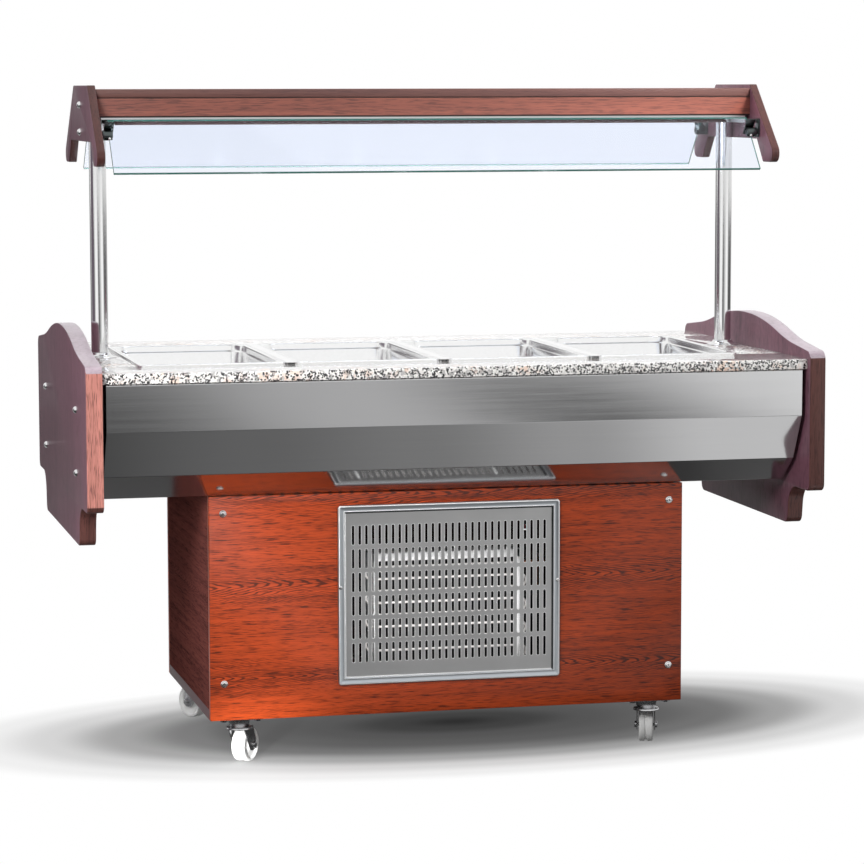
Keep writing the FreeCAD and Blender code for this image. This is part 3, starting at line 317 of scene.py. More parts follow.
def noise(tree, vector, scale=1.0, detail=2.0, roughness=0.5):
    node = addNode(
        tree, "ShaderNodeTexNoise", {"Vector": vector, "Scale": scale, "Detail": detail, "Roughness": roughness}
    )
    return node.outputs["Fac"]


def ranged(tree, value, low, high, newLow=0.0, newHigh=1.0):
    limits = {"From Min": low, "From Max": high, "To Min": newLow, "To Max": newHigh}
    return addNode(tree, "ShaderNodeMapRange", {"Value": value, **limits}).outputs["Result"]


def blended(tree, share, first, second):
    node = addNode(tree, "ShaderNodeMix", {0: share, 6: first, 7: second}, data_type="RGBA")
    return node.outputs[2]


def makeMahoganyGrain():
    # Grain along X of the vector, with rows of arched figure across Z and short dark pores.
    tree, given, result = newGroup(
        "mahoganyGrain",
        {
            "Vector": (0, 0, 0), "Light": (0.45, 0.09, 0.03, 1), "Dark": (0.06, 0.012, 0.008, 1),
            "Row Offset": 0.0, "Row Pitch": 0.2, "Figure": 0.6, "Pores": 0.6,
        },
        {"Color": "NodeSocketColor", "Height": "NodeSocketFloat"},
    )
    vector = given["Vector"]
    parts = addNode(tree, "ShaderNodeSeparateXYZ", {0: vector}).outputs
    sway = noise(tree, stretched(tree, vector, (1.6, 1.6, 9)), detail=3)
    across = maths(tree, "MULTIPLY_ADD", sway, 0.05, parts["Z"])
    across = maths(tree, "SUBTRACT", across, given["Row Offset"])
    halfPitch = maths(tree, "MULTIPLY", given["Row Pitch"], 0.5)
    lowPitch = maths(tree, "MULTIPLY", given["Row Pitch"], -0.5)
    fromRow = maths(tree, "WRAP", across, halfPitch, lowPitch)
    squared = maths(tree, "MULTIPLY_ADD", fromRow, fromRow, 0.00004)
    arch = maths(tree, "SQRT", squared)
    drift = noise(tree, stretched(tree, vector, (4, 4, 30)), detail=3, roughness=0.6)
    along = maths(tree, "MULTIPLY_ADD", drift, 0.03, maths(tree, "MULTIPLY", parts["X"], 0.16))
    ring = maths(tree, "MULTIPLY_ADD", arch, 1.5, along)
    wave = maths(tree, "SINE", maths(tree, "MULTIPLY", ring, 1250))
    line = ranged(tree, wave, 0.1, 0.95)
    nearRow = ranged(tree, maths(tree, "ABSOLUTE", fromRow), 0.012, 0.05, 1.0, 0.25)
    figure = maths(tree, "MULTIPLY", maths(tree, "MULTIPLY", line, nearRow), given["Figure"])
    pore = noise(tree, stretched(tree, vector, (26, 120, 520)), detail=2, roughness=0.6)
    pore = maths(tree, "MULTIPLY", ranged(tree, pore, 0.5, 0.66), given["Pores"])
    streak = noise(tree, stretched(tree, vector, (2.2, 20, 90)), detail=3, roughness=0.65)
    streak = ranged(tree, streak, 0.42, 0.72)
    broad = noise(tree, stretched(tree, vector, (1.1, 2, 11)), detail=2)
    dark = maths(tree, "MAXIMUM", figure, pore)
    dark = maths(tree, "MULTIPLY_ADD", streak, 0.42, dark)
    dark = maths(tree, "MULTIPLY_ADD", ranged(tree, broad, 0.35, 0.7), 0.22, dark)
    node = addNode(tree, "ShaderNodeClamp", {"Value": dark})
    colour = blended(tree, node.outputs[0], given["Light"], given["Dark"])
    tree.links.new(colour, result["Color"])
    tree.links.new(maths(tree, "SUBTRACT", 1.0, node.outputs[0]), result["Height"])
    return tree


def finished(tree, result, colour, rough, height):
    tree.links.new(colour, result["Color"])
    tree.links.new(rough, result["Roughness"])
    tree.links.new(height, result["Height"])
    return tree


def makeBrushedSteel():
    # Fine rubbed lines along X of the vector, with broad hand marks.
    tree, given, result = newGroup(
        "brushedSteel",
        {"Vector": (0, 0, 0), "Tint": (0.6, 0.6, 0.6, 1), "Line Contrast": 0.12, "Roughness": 0.25, "Marks": 0.06},
        surfaceSockets,
    )
    vector = given["Vector"]
    fine = noise(tree, stretched(tree, vector, (6, 1100, 1100)), detail=2, roughness=0.7)
    wide = noise(tree, stretched(tree, vector, (2, 160, 160)), detail=2, roughness=0.6)
    lines = maths(tree, "MULTIPLY_ADD", wide, 0.5, maths(tree, "MULTIPLY", fine, 0.5))
    marks = noise(tree, vector, scale=5, detail=4, roughness=0.6)
    shade = maths(tree, "SUBTRACT", lines, 0.5)
    shade = maths(tree, "MULTIPLY_ADD", shade, given["Line Contrast"], 1.0)
    tint = addNode(tree, "ShaderNodeVectorMath", {0: given["Tint"], "Scale": shade}, operation="SCALE")
    rough = maths(tree, "MULTIPLY_ADD", lines, 0.12, given["Roughness"])
    rough = maths(tree, "MULTIPLY_ADD", marks, given["Marks"], rough)
    return finished(tree, result, tint.outputs[0], rough, lines)


def makeFineTexture():
    # The slight unevenness of paint, moulded plastic or cast metal.
    tree, given, result = newGroup(
        "fineTexture",
        {"Vector": (0, 0, 0), "Tint": (0.5, 0.5, 0.5, 1), "Grain Scale": 600.0, "Variation": 0.12, "Roughness": 0.4},
        surfaceSockets,
    )
    vector = given["Vector"]
    grain = noise(tree, vector, scale=given["Grain Scale"], detail=2)
    cloud = noise(tree, vector, scale=14, detail=4, roughness=0.6)
    shade = maths(tree, "MULTIPLY_ADD", maths(tree, "SUBTRACT", cloud, 0.5), given["Variation"], 1.0)
    tint = addNode(tree, "ShaderNodeVectorMath", {0: given["Tint"], "Scale": shade}, operation="SCALE")
    rough = maths(tree, "MULTIPLY_ADD", cloud, 0.14, given["Roughness"])
    rough = maths(tree, "MULTIPLY_ADD", grain, 0.06, rough)
    return finished(tree, result, tint.outputs[0], rough, grain)


def makeGraniteSpeckle():
    # Cream stone with black mica, grey quartz and patches of peach feldspar.
    tree, given, result = newGroup(
        "graniteSpeckle",
        {"Vector": (0, 0, 0), "Speck Scale": 330.0},
        surfaceSockets,
    )
    vector = given["Vector"]
    cells = addNode(
        tree, "ShaderNodeTexVoronoi", {"Vector": vector, "Scale": given["Speck Scale"], "Randomness": 1.0}
    )
    coarseScale = maths(tree, "MULTIPLY", given["Speck Scale"], 0.42)
    coarse = addNode(tree, "ShaderNodeTexVoronoi", {"Vector": vector, "Scale": coarseScale, "Randomness": 1.0})
    pick = addNode(tree, "ShaderNodeSeparateColor", {0: cells.outputs["Color"]}).outputs
    coarsePick = addNode(tree, "ShaderNodeSeparateColor", {0: coarse.outputs["Color"]}).outputs
    patches = noise(tree, vector, scale=9, detail=4, roughness=0.6)
    clusters = noise(tree, vector, scale=48, detail=3, roughness=0.6)
    cream = blended(tree, pick[0], (1.0, 0.985, 0.96, 1), (0.72, 0.70, 0.68, 1))
    peach = blended(tree, coarsePick[1], (0.80, 0.55, 0.42, 1), (0.88, 0.72, 0.62, 1))
    peachShare = maths(tree, "MULTIPLY", ranged(tree, patches, 0.5, 0.62), ranged(tree, coarsePick[0], 0.45, 0.55))
    stone = blended(tree, peachShare, cream, peach)
    greyShare = maths(tree, "MULTIPLY", ranged(tree, coarsePick[2], 0.74, 0.78), 0.6)
    stone = blended(tree, greyShare, stone, (0.26, 0.25, 0.25, 1))
    blackCut = maths(tree, "MULTIPLY_ADD", clusters, -0.62, 1.0)
    black = maths(tree, "GREATER_THAN", pick[1], blackCut)
    stone = blended(tree, maths(tree, "MULTIPLY", black, 0.97), stone, (0.015, 0.015, 0.017, 1))
    rough = maths(tree, "MULTIPLY_ADD", black, 0.08, 0.09)
    return finished(tree, result, stone, rough, maths(tree, "SUBTRACT", 1.0, black))


mahoganyGrain = makeMahoganyGrain()
brushedSteel = makeBrushedSteel()
fineTexture = makeFineTexture()
graniteSpeckle = makeGraniteSpeckle()
print("shared effects ready")


# Finishes


finishes = {}  # by name, because some CAD materials have the same names


def newFinish(name, group, groupValues, turn=(0, 0, 0), bump=0.0, bumpDepth=0.0004, **shaderValues):
    # A material whose pattern comes from one shared effect. The turn sets the way that the grain runs.
    finishes[name] = bpy.data.materials.new(name)
    tree = plainTree(finishes[name])
    shader = addNode(tree, "ShaderNodeBsdfPrincipled", {key.replace("_", " "): v for key, v in shaderValues.items()})
    place = addNode(tree, "ShaderNodeTexCoord").outputs["Object"]
    turnedBy = tuple(math.radians(angle) for angle in turn)
    place = addNode(tree, "ShaderNodeMapping", {"Vector": place, "Rotation": turnedBy}).outputs[0]
    effect = addNode(tree, "ShaderNodeGroup", node_tree=group)
    tree.links.new(place, effect.inputs["Vector"])
    for key, value in groupValues.items():
        effect.inputs[key].default_value = value
    tree.links.new(effect.outputs["Color"], shader.inputs["Base Color"])
    if "Roughness" in effect.outputs:
        tree.links.new(effect.outputs["Roughness"], shader.inputs["Roughness"])
    if bump:
        relief = addNode(
            tree, "ShaderNodeBump", {"Strength": bump, "Distance": bumpDepth, "Height": effect.outputs["Height"]}
        )
        tree.links.new(relief.outputs[0], shader.inputs["Normal"])
    addNode(tree, "ShaderNodeOutputMaterial", {"Surface": shader.outputs[0]})


alongX = (0, 0, 0)
alongY = (0, 0, 90)
alongZ = (0, 90, 0)

woods = {
    # name: light and dark colour, way of the grain, row offset, row pitch, figure, pores, roughness, gloss, coat
    "frontWood": ((0.50, 0.066, 0.013), (0.07, 0.012, 0.006), alongX, 0.025, 0.2, 0.85, 0.75, 0.3, 0.3, 0.1),
    "rearWood": ((0.50, 0.070, 0.016), (0.07, 0.012, 0.006), alongX, 0.06, 0.24, 0.7, 0.75, 0.3, 0.3, 0.1),
    "sideWood": ((0.18, 0.056, 0.046), (0.05, 0.019, 0.018), alongY, 0.1, 0.3, 0.5, 0.6, 0.3, 0.0, 0.0),
    "fasciaWood": ((0.30, 0.095, 0.066), (0.10, 0.036, 0.030), alongX, 0.02, 0.4, 0.3, 0.7, 0.3, 0.55, 0.1),
    "topWood": ((0.145, 0.066, 0.056), (0.08, 0.036, 0.034), alongX, 0.02, 0.4, 0.2, 0.5, 0.35, 0.5, 0.1),
    # the outer faces: a purple tone that is partly the wood and partly painted sheen
    "endFaceSheenWood": ((0.215, 0.095, 0.13), (0.10, 0.042, 0.06), alongZ, 0.1, 0.3, 0.35, 0.6, 0.38, 0.4, 0.1),
    "endEdgeWood": ((0.54, 0.22, 0.18), (0.15, 0.06, 0.05), alongZ, 0.02, 0.5, 0.3, 0.9, 0.34, 0.3, 0.1),
    # the tops of the end panels, painted pale as a sheen
    "endTopSheenWood": ((0.42, 0.345, 0.39), (0.26, 0.20, 0.23), alongY, 0.02, 0.5, 0.2, 0.4, 0.3, 0.6, 0.1),
    "bracketWood": ((0.07, 0.025, 0.022), (0.03, 0.012, 0.011), alongZ, 0.02, 0.5, 0.3, 0.8, 0.34, 0.3, 0.1),
    # a dark copy of the edge wood, painted shade on the right panel's edges and on the low edges
    "shadedEdgeWood": ((0.13, 0.05, 0.042), (0.05, 0.02, 0.018), alongZ, 0.02, 0.5, 0.3, 0.8, 0.34, 0.3, 0.1),
}
rubbedMetals = {
    # name: tint, roughness, line contrast, marks, way of the lines, bump, its depth, how metallic
    "tankSteel": ((0.57, 0.57, 0.575), 0.03, 0.12, 0.04, alongX, 0.04, 0.0001, 1.0),
    "satinSteel": ((0.6, 0.6, 0.6), 0.24, 0.12, 0.06, alongX, 0.05, 0.0001, 1.0),
    "chrome": ((0.78, 0.78, 0.78), 0.03, 0.04, 0.04, alongZ, 0.0, 0.0, 1.0),
    "postChrome": ((0.75, 0.75, 0.75), 0.02, 0.05, 0.03, alongZ, 0.0, 0.0, 1.0),
    "panSteel": ((0.9, 0.9, 0.9), 0.06, 0.12, 0.1, alongY, 0.03, 0.0001, 1.0),
    "aluminium": ((0.7, 0.71, 0.72), 0.3, 0.12, 0.06, alongZ, 0.05, 0.0004, 1.0),
    "grilleSteel": ((0.50, 0.53, 0.56), 0.26, 0.12, 0.1, alongX, 0.06, 0.0001, 1.0),
    "plateSteel": ((0.5, 0.5, 0.5), 0.3, 0.12, 0.5, alongX, 0.1, 0.0001, 1.0),
    # the aluminium fins, painted near black as the shade inside the coil
    "finShadeBlack": ((0.02, 0.02, 0.02), 0.5, 0.12, 0.06, alongZ, 0.0, 0.0, 0.2),
}
fineFinishes = {
    # name: tint, roughness, variation, bump, how metallic, then a grain scale of its own
    "blackPaint": ((0.016, 0.016, 0.017), 0.35, 0.3, 0.1, 0.0),
    "galvanised": ((0.56, 0.57, 0.58), 0.2, 0.3, 0.06, 0.9, 160),
    "copper": ((0.72, 0.30, 0.16), 0.2, 0.4, 0.0, 1.0),
    "brass": ((0.66, 0.47, 0.2), 0.22, 0.3, 0.05, 1.0),
    "blackPlastic": ((0.02, 0.02, 0.022), 0.38, 0.12, 0.15, 0.0),
    "redPlastic": ((0.5, 0.02, 0.015), 0.22, 0.12, 0.05, 0.0),
    "zinc": ((0.62, 0.62, 0.63), 0.16, 0.25, 0.04, 1.0),
    "nylon": ((0.80, 0.80, 0.79), 0.3, 0.08, 0.08, 0.0),
    "foam": ((0.72, 0.62, 0.38), 0.7, 0.12, 0.3, 0.0, 240),
    "lensPlastic": ((0.16, 0.13, 0.13), 0.25, 0.1, 0.05, 0.0),
    # near white, painted highlight on the grille frame's edges
    "frameHighlight": ((0.95, 0.95, 0.95), 0.3, 0.15, 0.0, 0.5),
    "screwSteel": ((0.8, 0.8, 0.8), 0.06, 0.1, 0.0, 1.0),
    # near black, painted shade in the slots, the screw recesses and the shaded side of the grille frame
    "paintedShadeBlack": ((0.01, 0.01, 0.01), 0.4, 0.12, 0.0, 0.0),
    # the coil's tubes, painted pale as the bright line of a highlight
    "tubePaleHighlight": ((0.75, 0.72, 0.7), 0.3, 0.4, 0.0, 0.3),
    "coilPlate": ((0.82, 0.82, 0.82), 0.35, 0.3, 0.0, 0.1),
    # dark brown painted shade under the canopy tray
    "housingShadeBrown": ((0.085, 0.045, 0.045), 0.3, 0.2, 0.05, 0.0),
    "hingeSteel": ((0.10, 0.115, 0.115), 0.18, 0.5, 0.05, 1.0),
    # near white, painted highlight round each slot
    "slotRimHighlight": ((0.95, 0.95, 0.95), 0.42, 0.2, 0.0, 0.35),
}


def makeFinishes():
    for name, (light, dark, turn, offset, pitch, figure, pores, roughness, gloss, coat) in woods.items():
        grain = {"Light": (*light, 1), "Dark": (*dark, 1), "Row Offset": offset, "Row Pitch": pitch}
        newFinish(
            name, mahoganyGrain, {**grain, "Figure": figure, "Pores": pores}, turn, 0.12, 0.0003, Roughness=roughness,
            Specular_IOR_Level=gloss, Coat_Weight=coat, Coat_Roughness=0.16,
        )
    for name, (tint, roughness, contrast, marks, turn, bump, depth, metallic) in rubbedMetals.items():
        lines = {"Tint": (*tint, 1), "Roughness": roughness, "Line Contrast": contrast, "Marks": marks}
        newFinish(name, brushedSteel, lines, turn, bump, depth, Metallic=metallic)
    for name, (tint, roughness, variation, bump, metallic, *grain) in fineFinishes.items():
        texture = {"Tint": (*tint, 1), "Roughness": roughness, "Variation": variation}
        if grain:
            texture["Grain Scale"] = grain[0]
        newFinish(name, fineTexture, texture, bump=bump, Metallic=metallic)
    # A near-black wood that stands for painted shade: the insides of the base boards and the shadow lines along the
    # fascias.
    paintedShadeGrain = {"Light": (0.035, 0.017, 0.014, 1), "Dark": (0.014, 0.008, 0.007, 1)}
    newFinish(
        "paintedShadeWood", mahoganyGrain, {**paintedShadeGrain, "Row Pitch": 0.3, "Figure": 0.3, "Pores": 0.5},
        bump=0.1, bumpDepth=0.0003, Roughness=0.6,
    )
    newFinish("granite", graniteSpeckle, {}, bump=0.05, Coat_Weight=0.6, Coat_Roughness=0.04)
    framePaint = {"Tint": (0.09, 0.045, 0.05, 1), "Roughness": 0.3}
    newFinish("framePaint", fineTexture, framePaint, bump=0.1, bumpDepth=0.0003)
    for name, tint, roughness, variation in (
        ("displayDark", (0.02, 0.004, 0.004, 1), 0.06, 0.12), ("glassEdge", (0.03, 0.14, 0.115, 1), 0.08, 0.2),
    ):
        texture = {"Tint": tint, "Roughness": roughness, "Variation": variation}
        newFinish(name, fineTexture, texture, Coat_Weight=0.5)


def makeClearGlass():
    # Pale blue float glass that lets lamp light through to what is under it.
    finishes["clearGlass"] = bpy.data.materials.new("clearGlass")
    tree = plainTree(finishes["clearGlass"])
    place = addNode(tree, "ShaderNodeTexCoord").outputs["Object"]
    effect = addNode(tree, "ShaderNodeGroup", node_tree=fineTexture)
    tree.links.new(place, effect.inputs["Vector"])
    for key, value in {"Tint": (0.885, 0.915, 0.98, 1), "Variation": 0.01, "Roughness": -0.06}.items():
        effect.inputs[key].default_value = value
    shader = addNode(
        tree,
        "ShaderNodeBsdfPrincipled",
        {"Base Color": effect.outputs["Color"], "Roughness": effect.outputs["Roughness"], "IOR": 1.14},
    )
    shader.inputs["Transmission Weight"].default_value = 1.0
    path = addNode(tree, "ShaderNodeLightPath")
    clear = addNode(tree, "ShaderNodeBsdfTransparent", {"Color": (0.93, 0.95, 0.97, 1)})
    both = addNode(
        tree, "ShaderNodeMixShader", {0: path.outputs["Is Shadow Ray"], 1: shader.outputs[0], 2: clear.outputs[0]}
    )
    addNode(tree, "ShaderNodeOutputMaterial", {"Surface": both.outputs[0]})


makeFinishes()
makeClearGlass()
print("finishes ready")


# Making pieces


def ofKind(items, kind):
    return [item for item in items if isinstance(item, kind)]


def finishFaces(faces, index):
    for face in faces:
        face.material_index = index


def newPiece(name, bm, materials, nodeName=None, smoothAngle=32):
    # A piece rides with the body of the CAD node that it covers, or else with the cabinet.
    mesh = bpy.data.meshes.new(name)
    bm.to_mesh(mesh)
    bm.free()
    for material in materials:
        mesh.materials.append(finishes[material])
    mesh.shade_smooth()
    mesh.set_sharp_from_angle(angle=math.radians(smoothAngle))
    piece = bpy.data.objects.new(name, mesh)
    bpy.context.scene.collection.objects.link(piece)
    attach(piece, cadNodes[nodeName]["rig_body"] if nodeName else "cabinet")
    if nodeName:
        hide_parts(nodeName)


def softened(nodeName, width, segments=2):
    # A copy of a CAD node's shape with its corners rounded.
    bm = bmesh.new()
    bm.from_mesh(cadNodes[nodeName].data)
    bmesh.ops.remove_doubles(bm, verts=bm.verts, dist=0.00001)
    bmesh.ops.dissolve_limit(bm, angle_limit=math.radians(1), verts=bm.verts, edges=bm.edges)
    corner = math.radians(25)
    sharp = [edge for edge in bm.edges if len(edge.link_faces) == 2 and edge.calc_face_angle() > corner]
    bmesh.ops.bevel(
        bm, geom=sharp, offset=width, offset_type="OFFSET", affect="EDGES", segments=segments, profile=0.5,
        material=-1,
    )
    finishFaces(bm.faces, 0)
    return bm


# Boards

boardValues = {
    # piece: CAD node, finish, corner radius
    "frontBoard": ("base_front_panel", "frontWood", 0.0012),
    "rearBoard": ("base_rear_panel", "rearWood", 0.0008),
    "sideBoardLeft": ("base_side_left", "sideWood", 0.001),
    "sideBoardRight": ("base_side_right", "sideWood", 0.001),
    "canopyBoard": ("canopy_top_board", "topWood", 0.0015),
    "fasciaBoards": ("canopy_fascias", "fasciaWood", 0.0015),
}
fasciaShadowLines = (1.4192, 1.4570)  # heights of the painted shadow lines under and above the fascias
insideFrom = (0.4, 0.25)  # a base board's back is farther out than this, in X or Y


def makeBoards():
    for name, (nodeName, finish, width) in boardValues.items():
        bm = softened(nodeName, width)
        if nodeName == "canopy_fascias":
            for cut in fasciaShadowLines:
                geom = bm.verts[:] + bm.edges[:] + bm.faces[:]
                bmesh.ops.bisect_plane(bm, geom=geom, plane_co=(0, 0, cut), plane_no=(0, 0, 1))
        # Inside faces of the base boards, and the fascias above and below their middle band, take the painted-shade
        # wood.
        for face in bm.faces:
            middle = face.calc_center_median()
            inward = min(face.normal.x * middle.x + insideFrom[0], face.normal.y * middle.y + insideFrom[1])
            if nodeName == "canopy_fascias":
                face.material_index = 0 if fasciaShadowLines[0] < middle.z < fasciaShadowLines[1] else 1
            else:
                face.material_index = 1 if nodeName.startswith("base") and inward < 0 else 0
        newPiece(name, bm, [finish, "paintedShadeWood"], nodeName)
    for name, nodeName, width, edge in (
        ("endBoardLeft", "end_panel_left", 0.0022, "endEdgeWood"),
        ("endBoardRight", "end_panel_right", 0.0022, "shadedEdgeWood"),
        ("canopyBracketLeft", "bracket_left", 0.002, "bracketWood"),
        ("canopyBracketRight", "bracket_right", 0.002, "bracketWood"),
    ):
        bm = softened(nodeName, width, segments=3)
        # Outer faces take the sheen wood, end panel tops a painted pale sheen, and the right panel's edges and all
        # low edges a painted-shade copy of the edge wood.
        for face in bm.faces:
            if abs(face.normal.x) > 0.9:
                face.material_index = 0
            elif face.normal.z > 0.3 and name.startswith("end"):
                face.material_index = 2
            else:
                face.material_index = 3 if face.calc_center_median().z < 0.6 else 1
        finishesHere = ["endFaceSheenWood", edge, "endTopSheenWood", "shadedEdgeWood"]
        newPiece(name, bm, finishesHere, nodeName)


makeBoards()


# Stone

def makeStone():
    for name, nodeName in (
        ("frontStone", "granite_front"), ("rearStone", "granite_rear"), ("endStones", "granite_ends"),
    ):
        newPiece(name, softened(nodeName, 0.001), ["granite"], nodeName)


makeStone()


# Turned and lofted forms


def roundedRing(bm, halfX, halfY, radius, level, steps=6):
    # A loop of edges around a rectangle with round corners, level with XY.
    verts = bmesh.ops.create_circle(bm, segments=4 * steps, radius=radius)["verts"]
    bmesh.ops.rotate(bm, verts=verts, matrix=Matrix.Rotation(math.pi / (4 * steps), 3, "Z"))
    for vert in verts:
        vert.co.x += math.copysign(halfX - radius, vert.co.x)
        vert.co.y += math.copysign(halfY - radius, vert.co.y)
        vert.co.z = level
    return list({edge for vert in verts for edge in vert.link_edges})


def lofted(bm, levels, steps=6):
    # One ring drawn on from level to level. Gives the last ring's edges.
    ring = roundedRing(bm, *levels[0], steps=steps)
    for (oldX, oldY, oldRadius, _), (newX, newY, newRadius, level) in zip(levels, levels[1:]):
        drawn = bmesh.ops.extrude_edge_only(bm, edges=ring)["geom"]
        verts = ofKind(drawn, bmesh.types.BMVert)
        ring = [edge for edge in ofKind(drawn, bmesh.types.BMEdge) if set(edge.verts) <= set(verts)]
        for vert in verts:
            inX = (abs(vert.co.x) - oldX + oldRadius) * newRadius / oldRadius
            inY = (abs(vert.co.y) - oldY + oldRadius) * newRadius / oldRadius
            vert.co.x = math.copysign(newX - newRadius + inX, vert.co.x)
            vert.co.y = math.copysign(newY - newRadius + inY, vert.co.y)
            vert.co.z = level
    return ring


def spun(bm, profile, steps=32, matrix=None):
    # A line of (radius, height) points turned about Z, then put in place.
    before = set(bm.verts)
    verts = [bm.verts.new((radius, 0, height)) for radius, height in profile]
    edges = [bm.edges.new(pair) for pair in zip(verts, verts[1:])]
    bmesh.ops.spin(
        bm, geom=verts + edges, cent=(0, 0, 0), axis=(0, 0, 1), angle=2 * math.pi, steps=steps, use_merge=True
    )
    made = [vert for vert in bm.verts if vert not in before]
    bmesh.ops.remove_doubles(bm, verts=made, dist=0.000001)
    made = [vert for vert in bm.verts if vert not in before]
    faces = list({face for vert in made for face in vert.link_faces})
    bmesh.ops.recalc_face_normals(bm, faces=faces)
    if matrix:
        bmesh.ops.transform(bm, matrix=matrix, verts=made)
    return made


def boxed(bm, low, high, width=0.0):
    # A box between two corners with rounded edges.
    size = Vector(high) - Vector(low)
    middle = (Vector(high) + Vector(low)) / 2
    matrix = Matrix.Translation(middle) @ Matrix.Diagonal(size.to_4d())
    verts = bmesh.ops.create_cube(bm, size=1.0, matrix=matrix)["verts"]
    if width:
        edges = list({edge for vert in verts for edge in vert.link_edges})
        bmesh.ops.bevel(bm, geom=edges, offset=width, affect="EDGES", segments=2, profile=0.5, material=-1)


def seated(place, direction):
    # Puts a form drawn up Z onto a face that looks in a direction.
    return Matrix.Translation(place) @ Vector(direction).to_track_quat("Z", "Y").to_matrix().to_4x4()


def middleOf(nodeName):
    low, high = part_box(nodeName)
    return (low + high) / 2


# Pans

panValues = {
    # half width, half length, corner radius, height below the rim's top; from the hem inwards
    "levels": [
        (0.1625, 0.2650, 0.0140, -0.00375), (0.1625, 0.2650, 0.0140, -0.00160), (0.1619, 0.2644, 0.0134, -0.00050),
        (0.1606, 0.2631, 0.0122, 0.0), (0.1562, 0.2587, 0.0120, -0.0001), (0.1553, 0.2578, 0.0125, -0.0012),
        (0.1545, 0.2570, 0.0140, -0.0012), (0.1536, 0.2561, 0.0200, -0.0002), (0.1512, 0.2537, 0.0440, 0.0),
        (0.1501, 0.2526, 0.0450, -0.0007), (0.1495, 0.2520, 0.0450, -0.0030), (0.1492, 0.2517, 0.0450, -0.0125),
        (0.1476, 0.2501, 0.0435, -0.0150), (0.1462, 0.2487, 0.0420, -0.0170), (0.1425, 0.2450, 0.0385, -0.1360),
        (0.1402, 0.2427, 0.0362, -0.1440), (0.1340, 0.2365, 0.0300, -0.1484), (0.1260, 0.2285, 0.0220, -0.1490),
    ],
    "cornerSteps": 10,
}


def makePans():
    for number in range(1, 5):
        nodeName = f"pan_{number}"
        low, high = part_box(nodeName)
        bm = bmesh.new()
        levels = [(x, y, radius, high.z + drop) for x, y, radius, drop in panValues["levels"]]
        floorRing = lofted(bm, levels, panValues["cornerSteps"])
        bmesh.ops.edgeloop_fill(bm, edges=floorRing)
        bmesh.ops.recalc_face_normals(bm, faces=bm.faces)
        # The inside looks up, so the sheet is thickened away from it.
        if sum(face.normal.z * face.calc_area() for face in bm.faces) < 0:
            bmesh.ops.reverse_faces(bm, faces=bm.faces)
        bmesh.ops.solidify(bm, geom=bm.faces, thickness=0.0009)
        bmesh.ops.recalc_face_normals(bm, faces=bm.faces)
        bmesh.ops.translate(bm, vec=((low.x + high.x) / 2, (low.y + high.y) / 2, 0), verts=bm.verts)
        newPiece(f"foodPan{number}", bm, ["panSteel"], nodeName, 50)


makePans()


# Grille

grilleValues = {
    "halfWidth": 0.2525,
    "halfHeight": 0.2,
    "face": -0.307,
    # inset, corner radius and height of the pressed frame, from its back edge inwards
    "frame": [
        (0.0, 0.009, 0.0), (0.0, 0.009, 0.0026), (0.0006, 0.0084, 0.0042), (0.0020, 0.0072, 0.0055),
        (0.0038, 0.0056, 0.0060), (0.0052, 0.0044, 0.0056), (0.0066, 0.0034, 0.0044), (0.0122, 0.0020, 0.0034),
        (0.0134, 0.0018, 0.0040), (0.0146, 0.0016, 0.0046), (0.0157, 0.0014, 0.0040), (0.0160, 0.0012, 0.0030),
        (0.0160, 0.0012, 0.0002), (0.0190, 0.0012, 0.0002),
    ],
    "columns": 30, "rows": 6, "slotWidth": 0.0060, "slotHeight": 0.0430,
    "pitchX": 0.015, "pitchZ": 0.0523, "firstRise": 0.0495, "sheet": 0.0012,
    "plateHalfWidth": 0.2405, "plateHalfHeight": 0.188, "slotRimHighlight": 0.0008,
    "highlightInsets": ((0.0020, 0.0045), (0.0132, 0.0150)),
    "ringInset": 0.0162, "shadeWithin": 0.025,  # the flat ring beside the plate: painted shadow at the top and right, painted highlight elsewhere
}


def slottedSheet(bm, halfX, halfY, slots, slotWidth, slotHeight, sheet, rim):
    # A sheet with round-ended slots, level with XY, from the list of slot middles. Each slot has a rim painted pale
    # as a highlight, and its walls are painted black as shade.
    edges = roundedRing(bm, halfX, halfY, 0.001, 0, steps=1)
    highlightRims = []
    for x, y in slots:
        half = Vector((slotWidth, slotHeight)) / 2
        ring = roundedRing(bm, half.x + rim, half.y + rim, min(half) + rim, 0, steps=3)
        for vert in {vert for edge in ring for vert in edge.verts}:
            vert.co += Vector((x, y, 0))
        edges += ring
        drawn = bmesh.ops.extrude_edge_only(bm, edges=ring)["geom"]
        verts = ofKind(drawn, bmesh.types.BMVert)
        highlightRims += ofKind(drawn, bmesh.types.BMFace)
        share = min(half) / (min(half) + rim)
        straight = half - Vector((min(half), min(half)))
        for vert in verts:
            for axis, middle in enumerate((x, y)):
                offset = vert.co[axis] - middle
                end = math.copysign(straight[axis], offset)
                vert.co[axis] = middle + end + (offset - end) * share
    filled = bmesh.ops.triangle_fill(bm, use_beauty=True, use_dissolve=False, edges=edges, normal=(0, 0, 1))
    front = ofKind(filled["geom"], bmesh.types.BMFace) + highlightRims
    finishFaces(highlightRims, 1)
    bmesh.ops.recalc_face_normals(bm, faces=bm.faces)
    bmesh.ops.solidify(bm, geom=front, thickness=-sheet)
    bmesh.ops.recalc_face_normals(bm, faces=bm.faces)
    # the slot walls are painted black as shade
    finishFaces([face for face in bm.faces if abs(face.normal.z) < 0.5], 2)


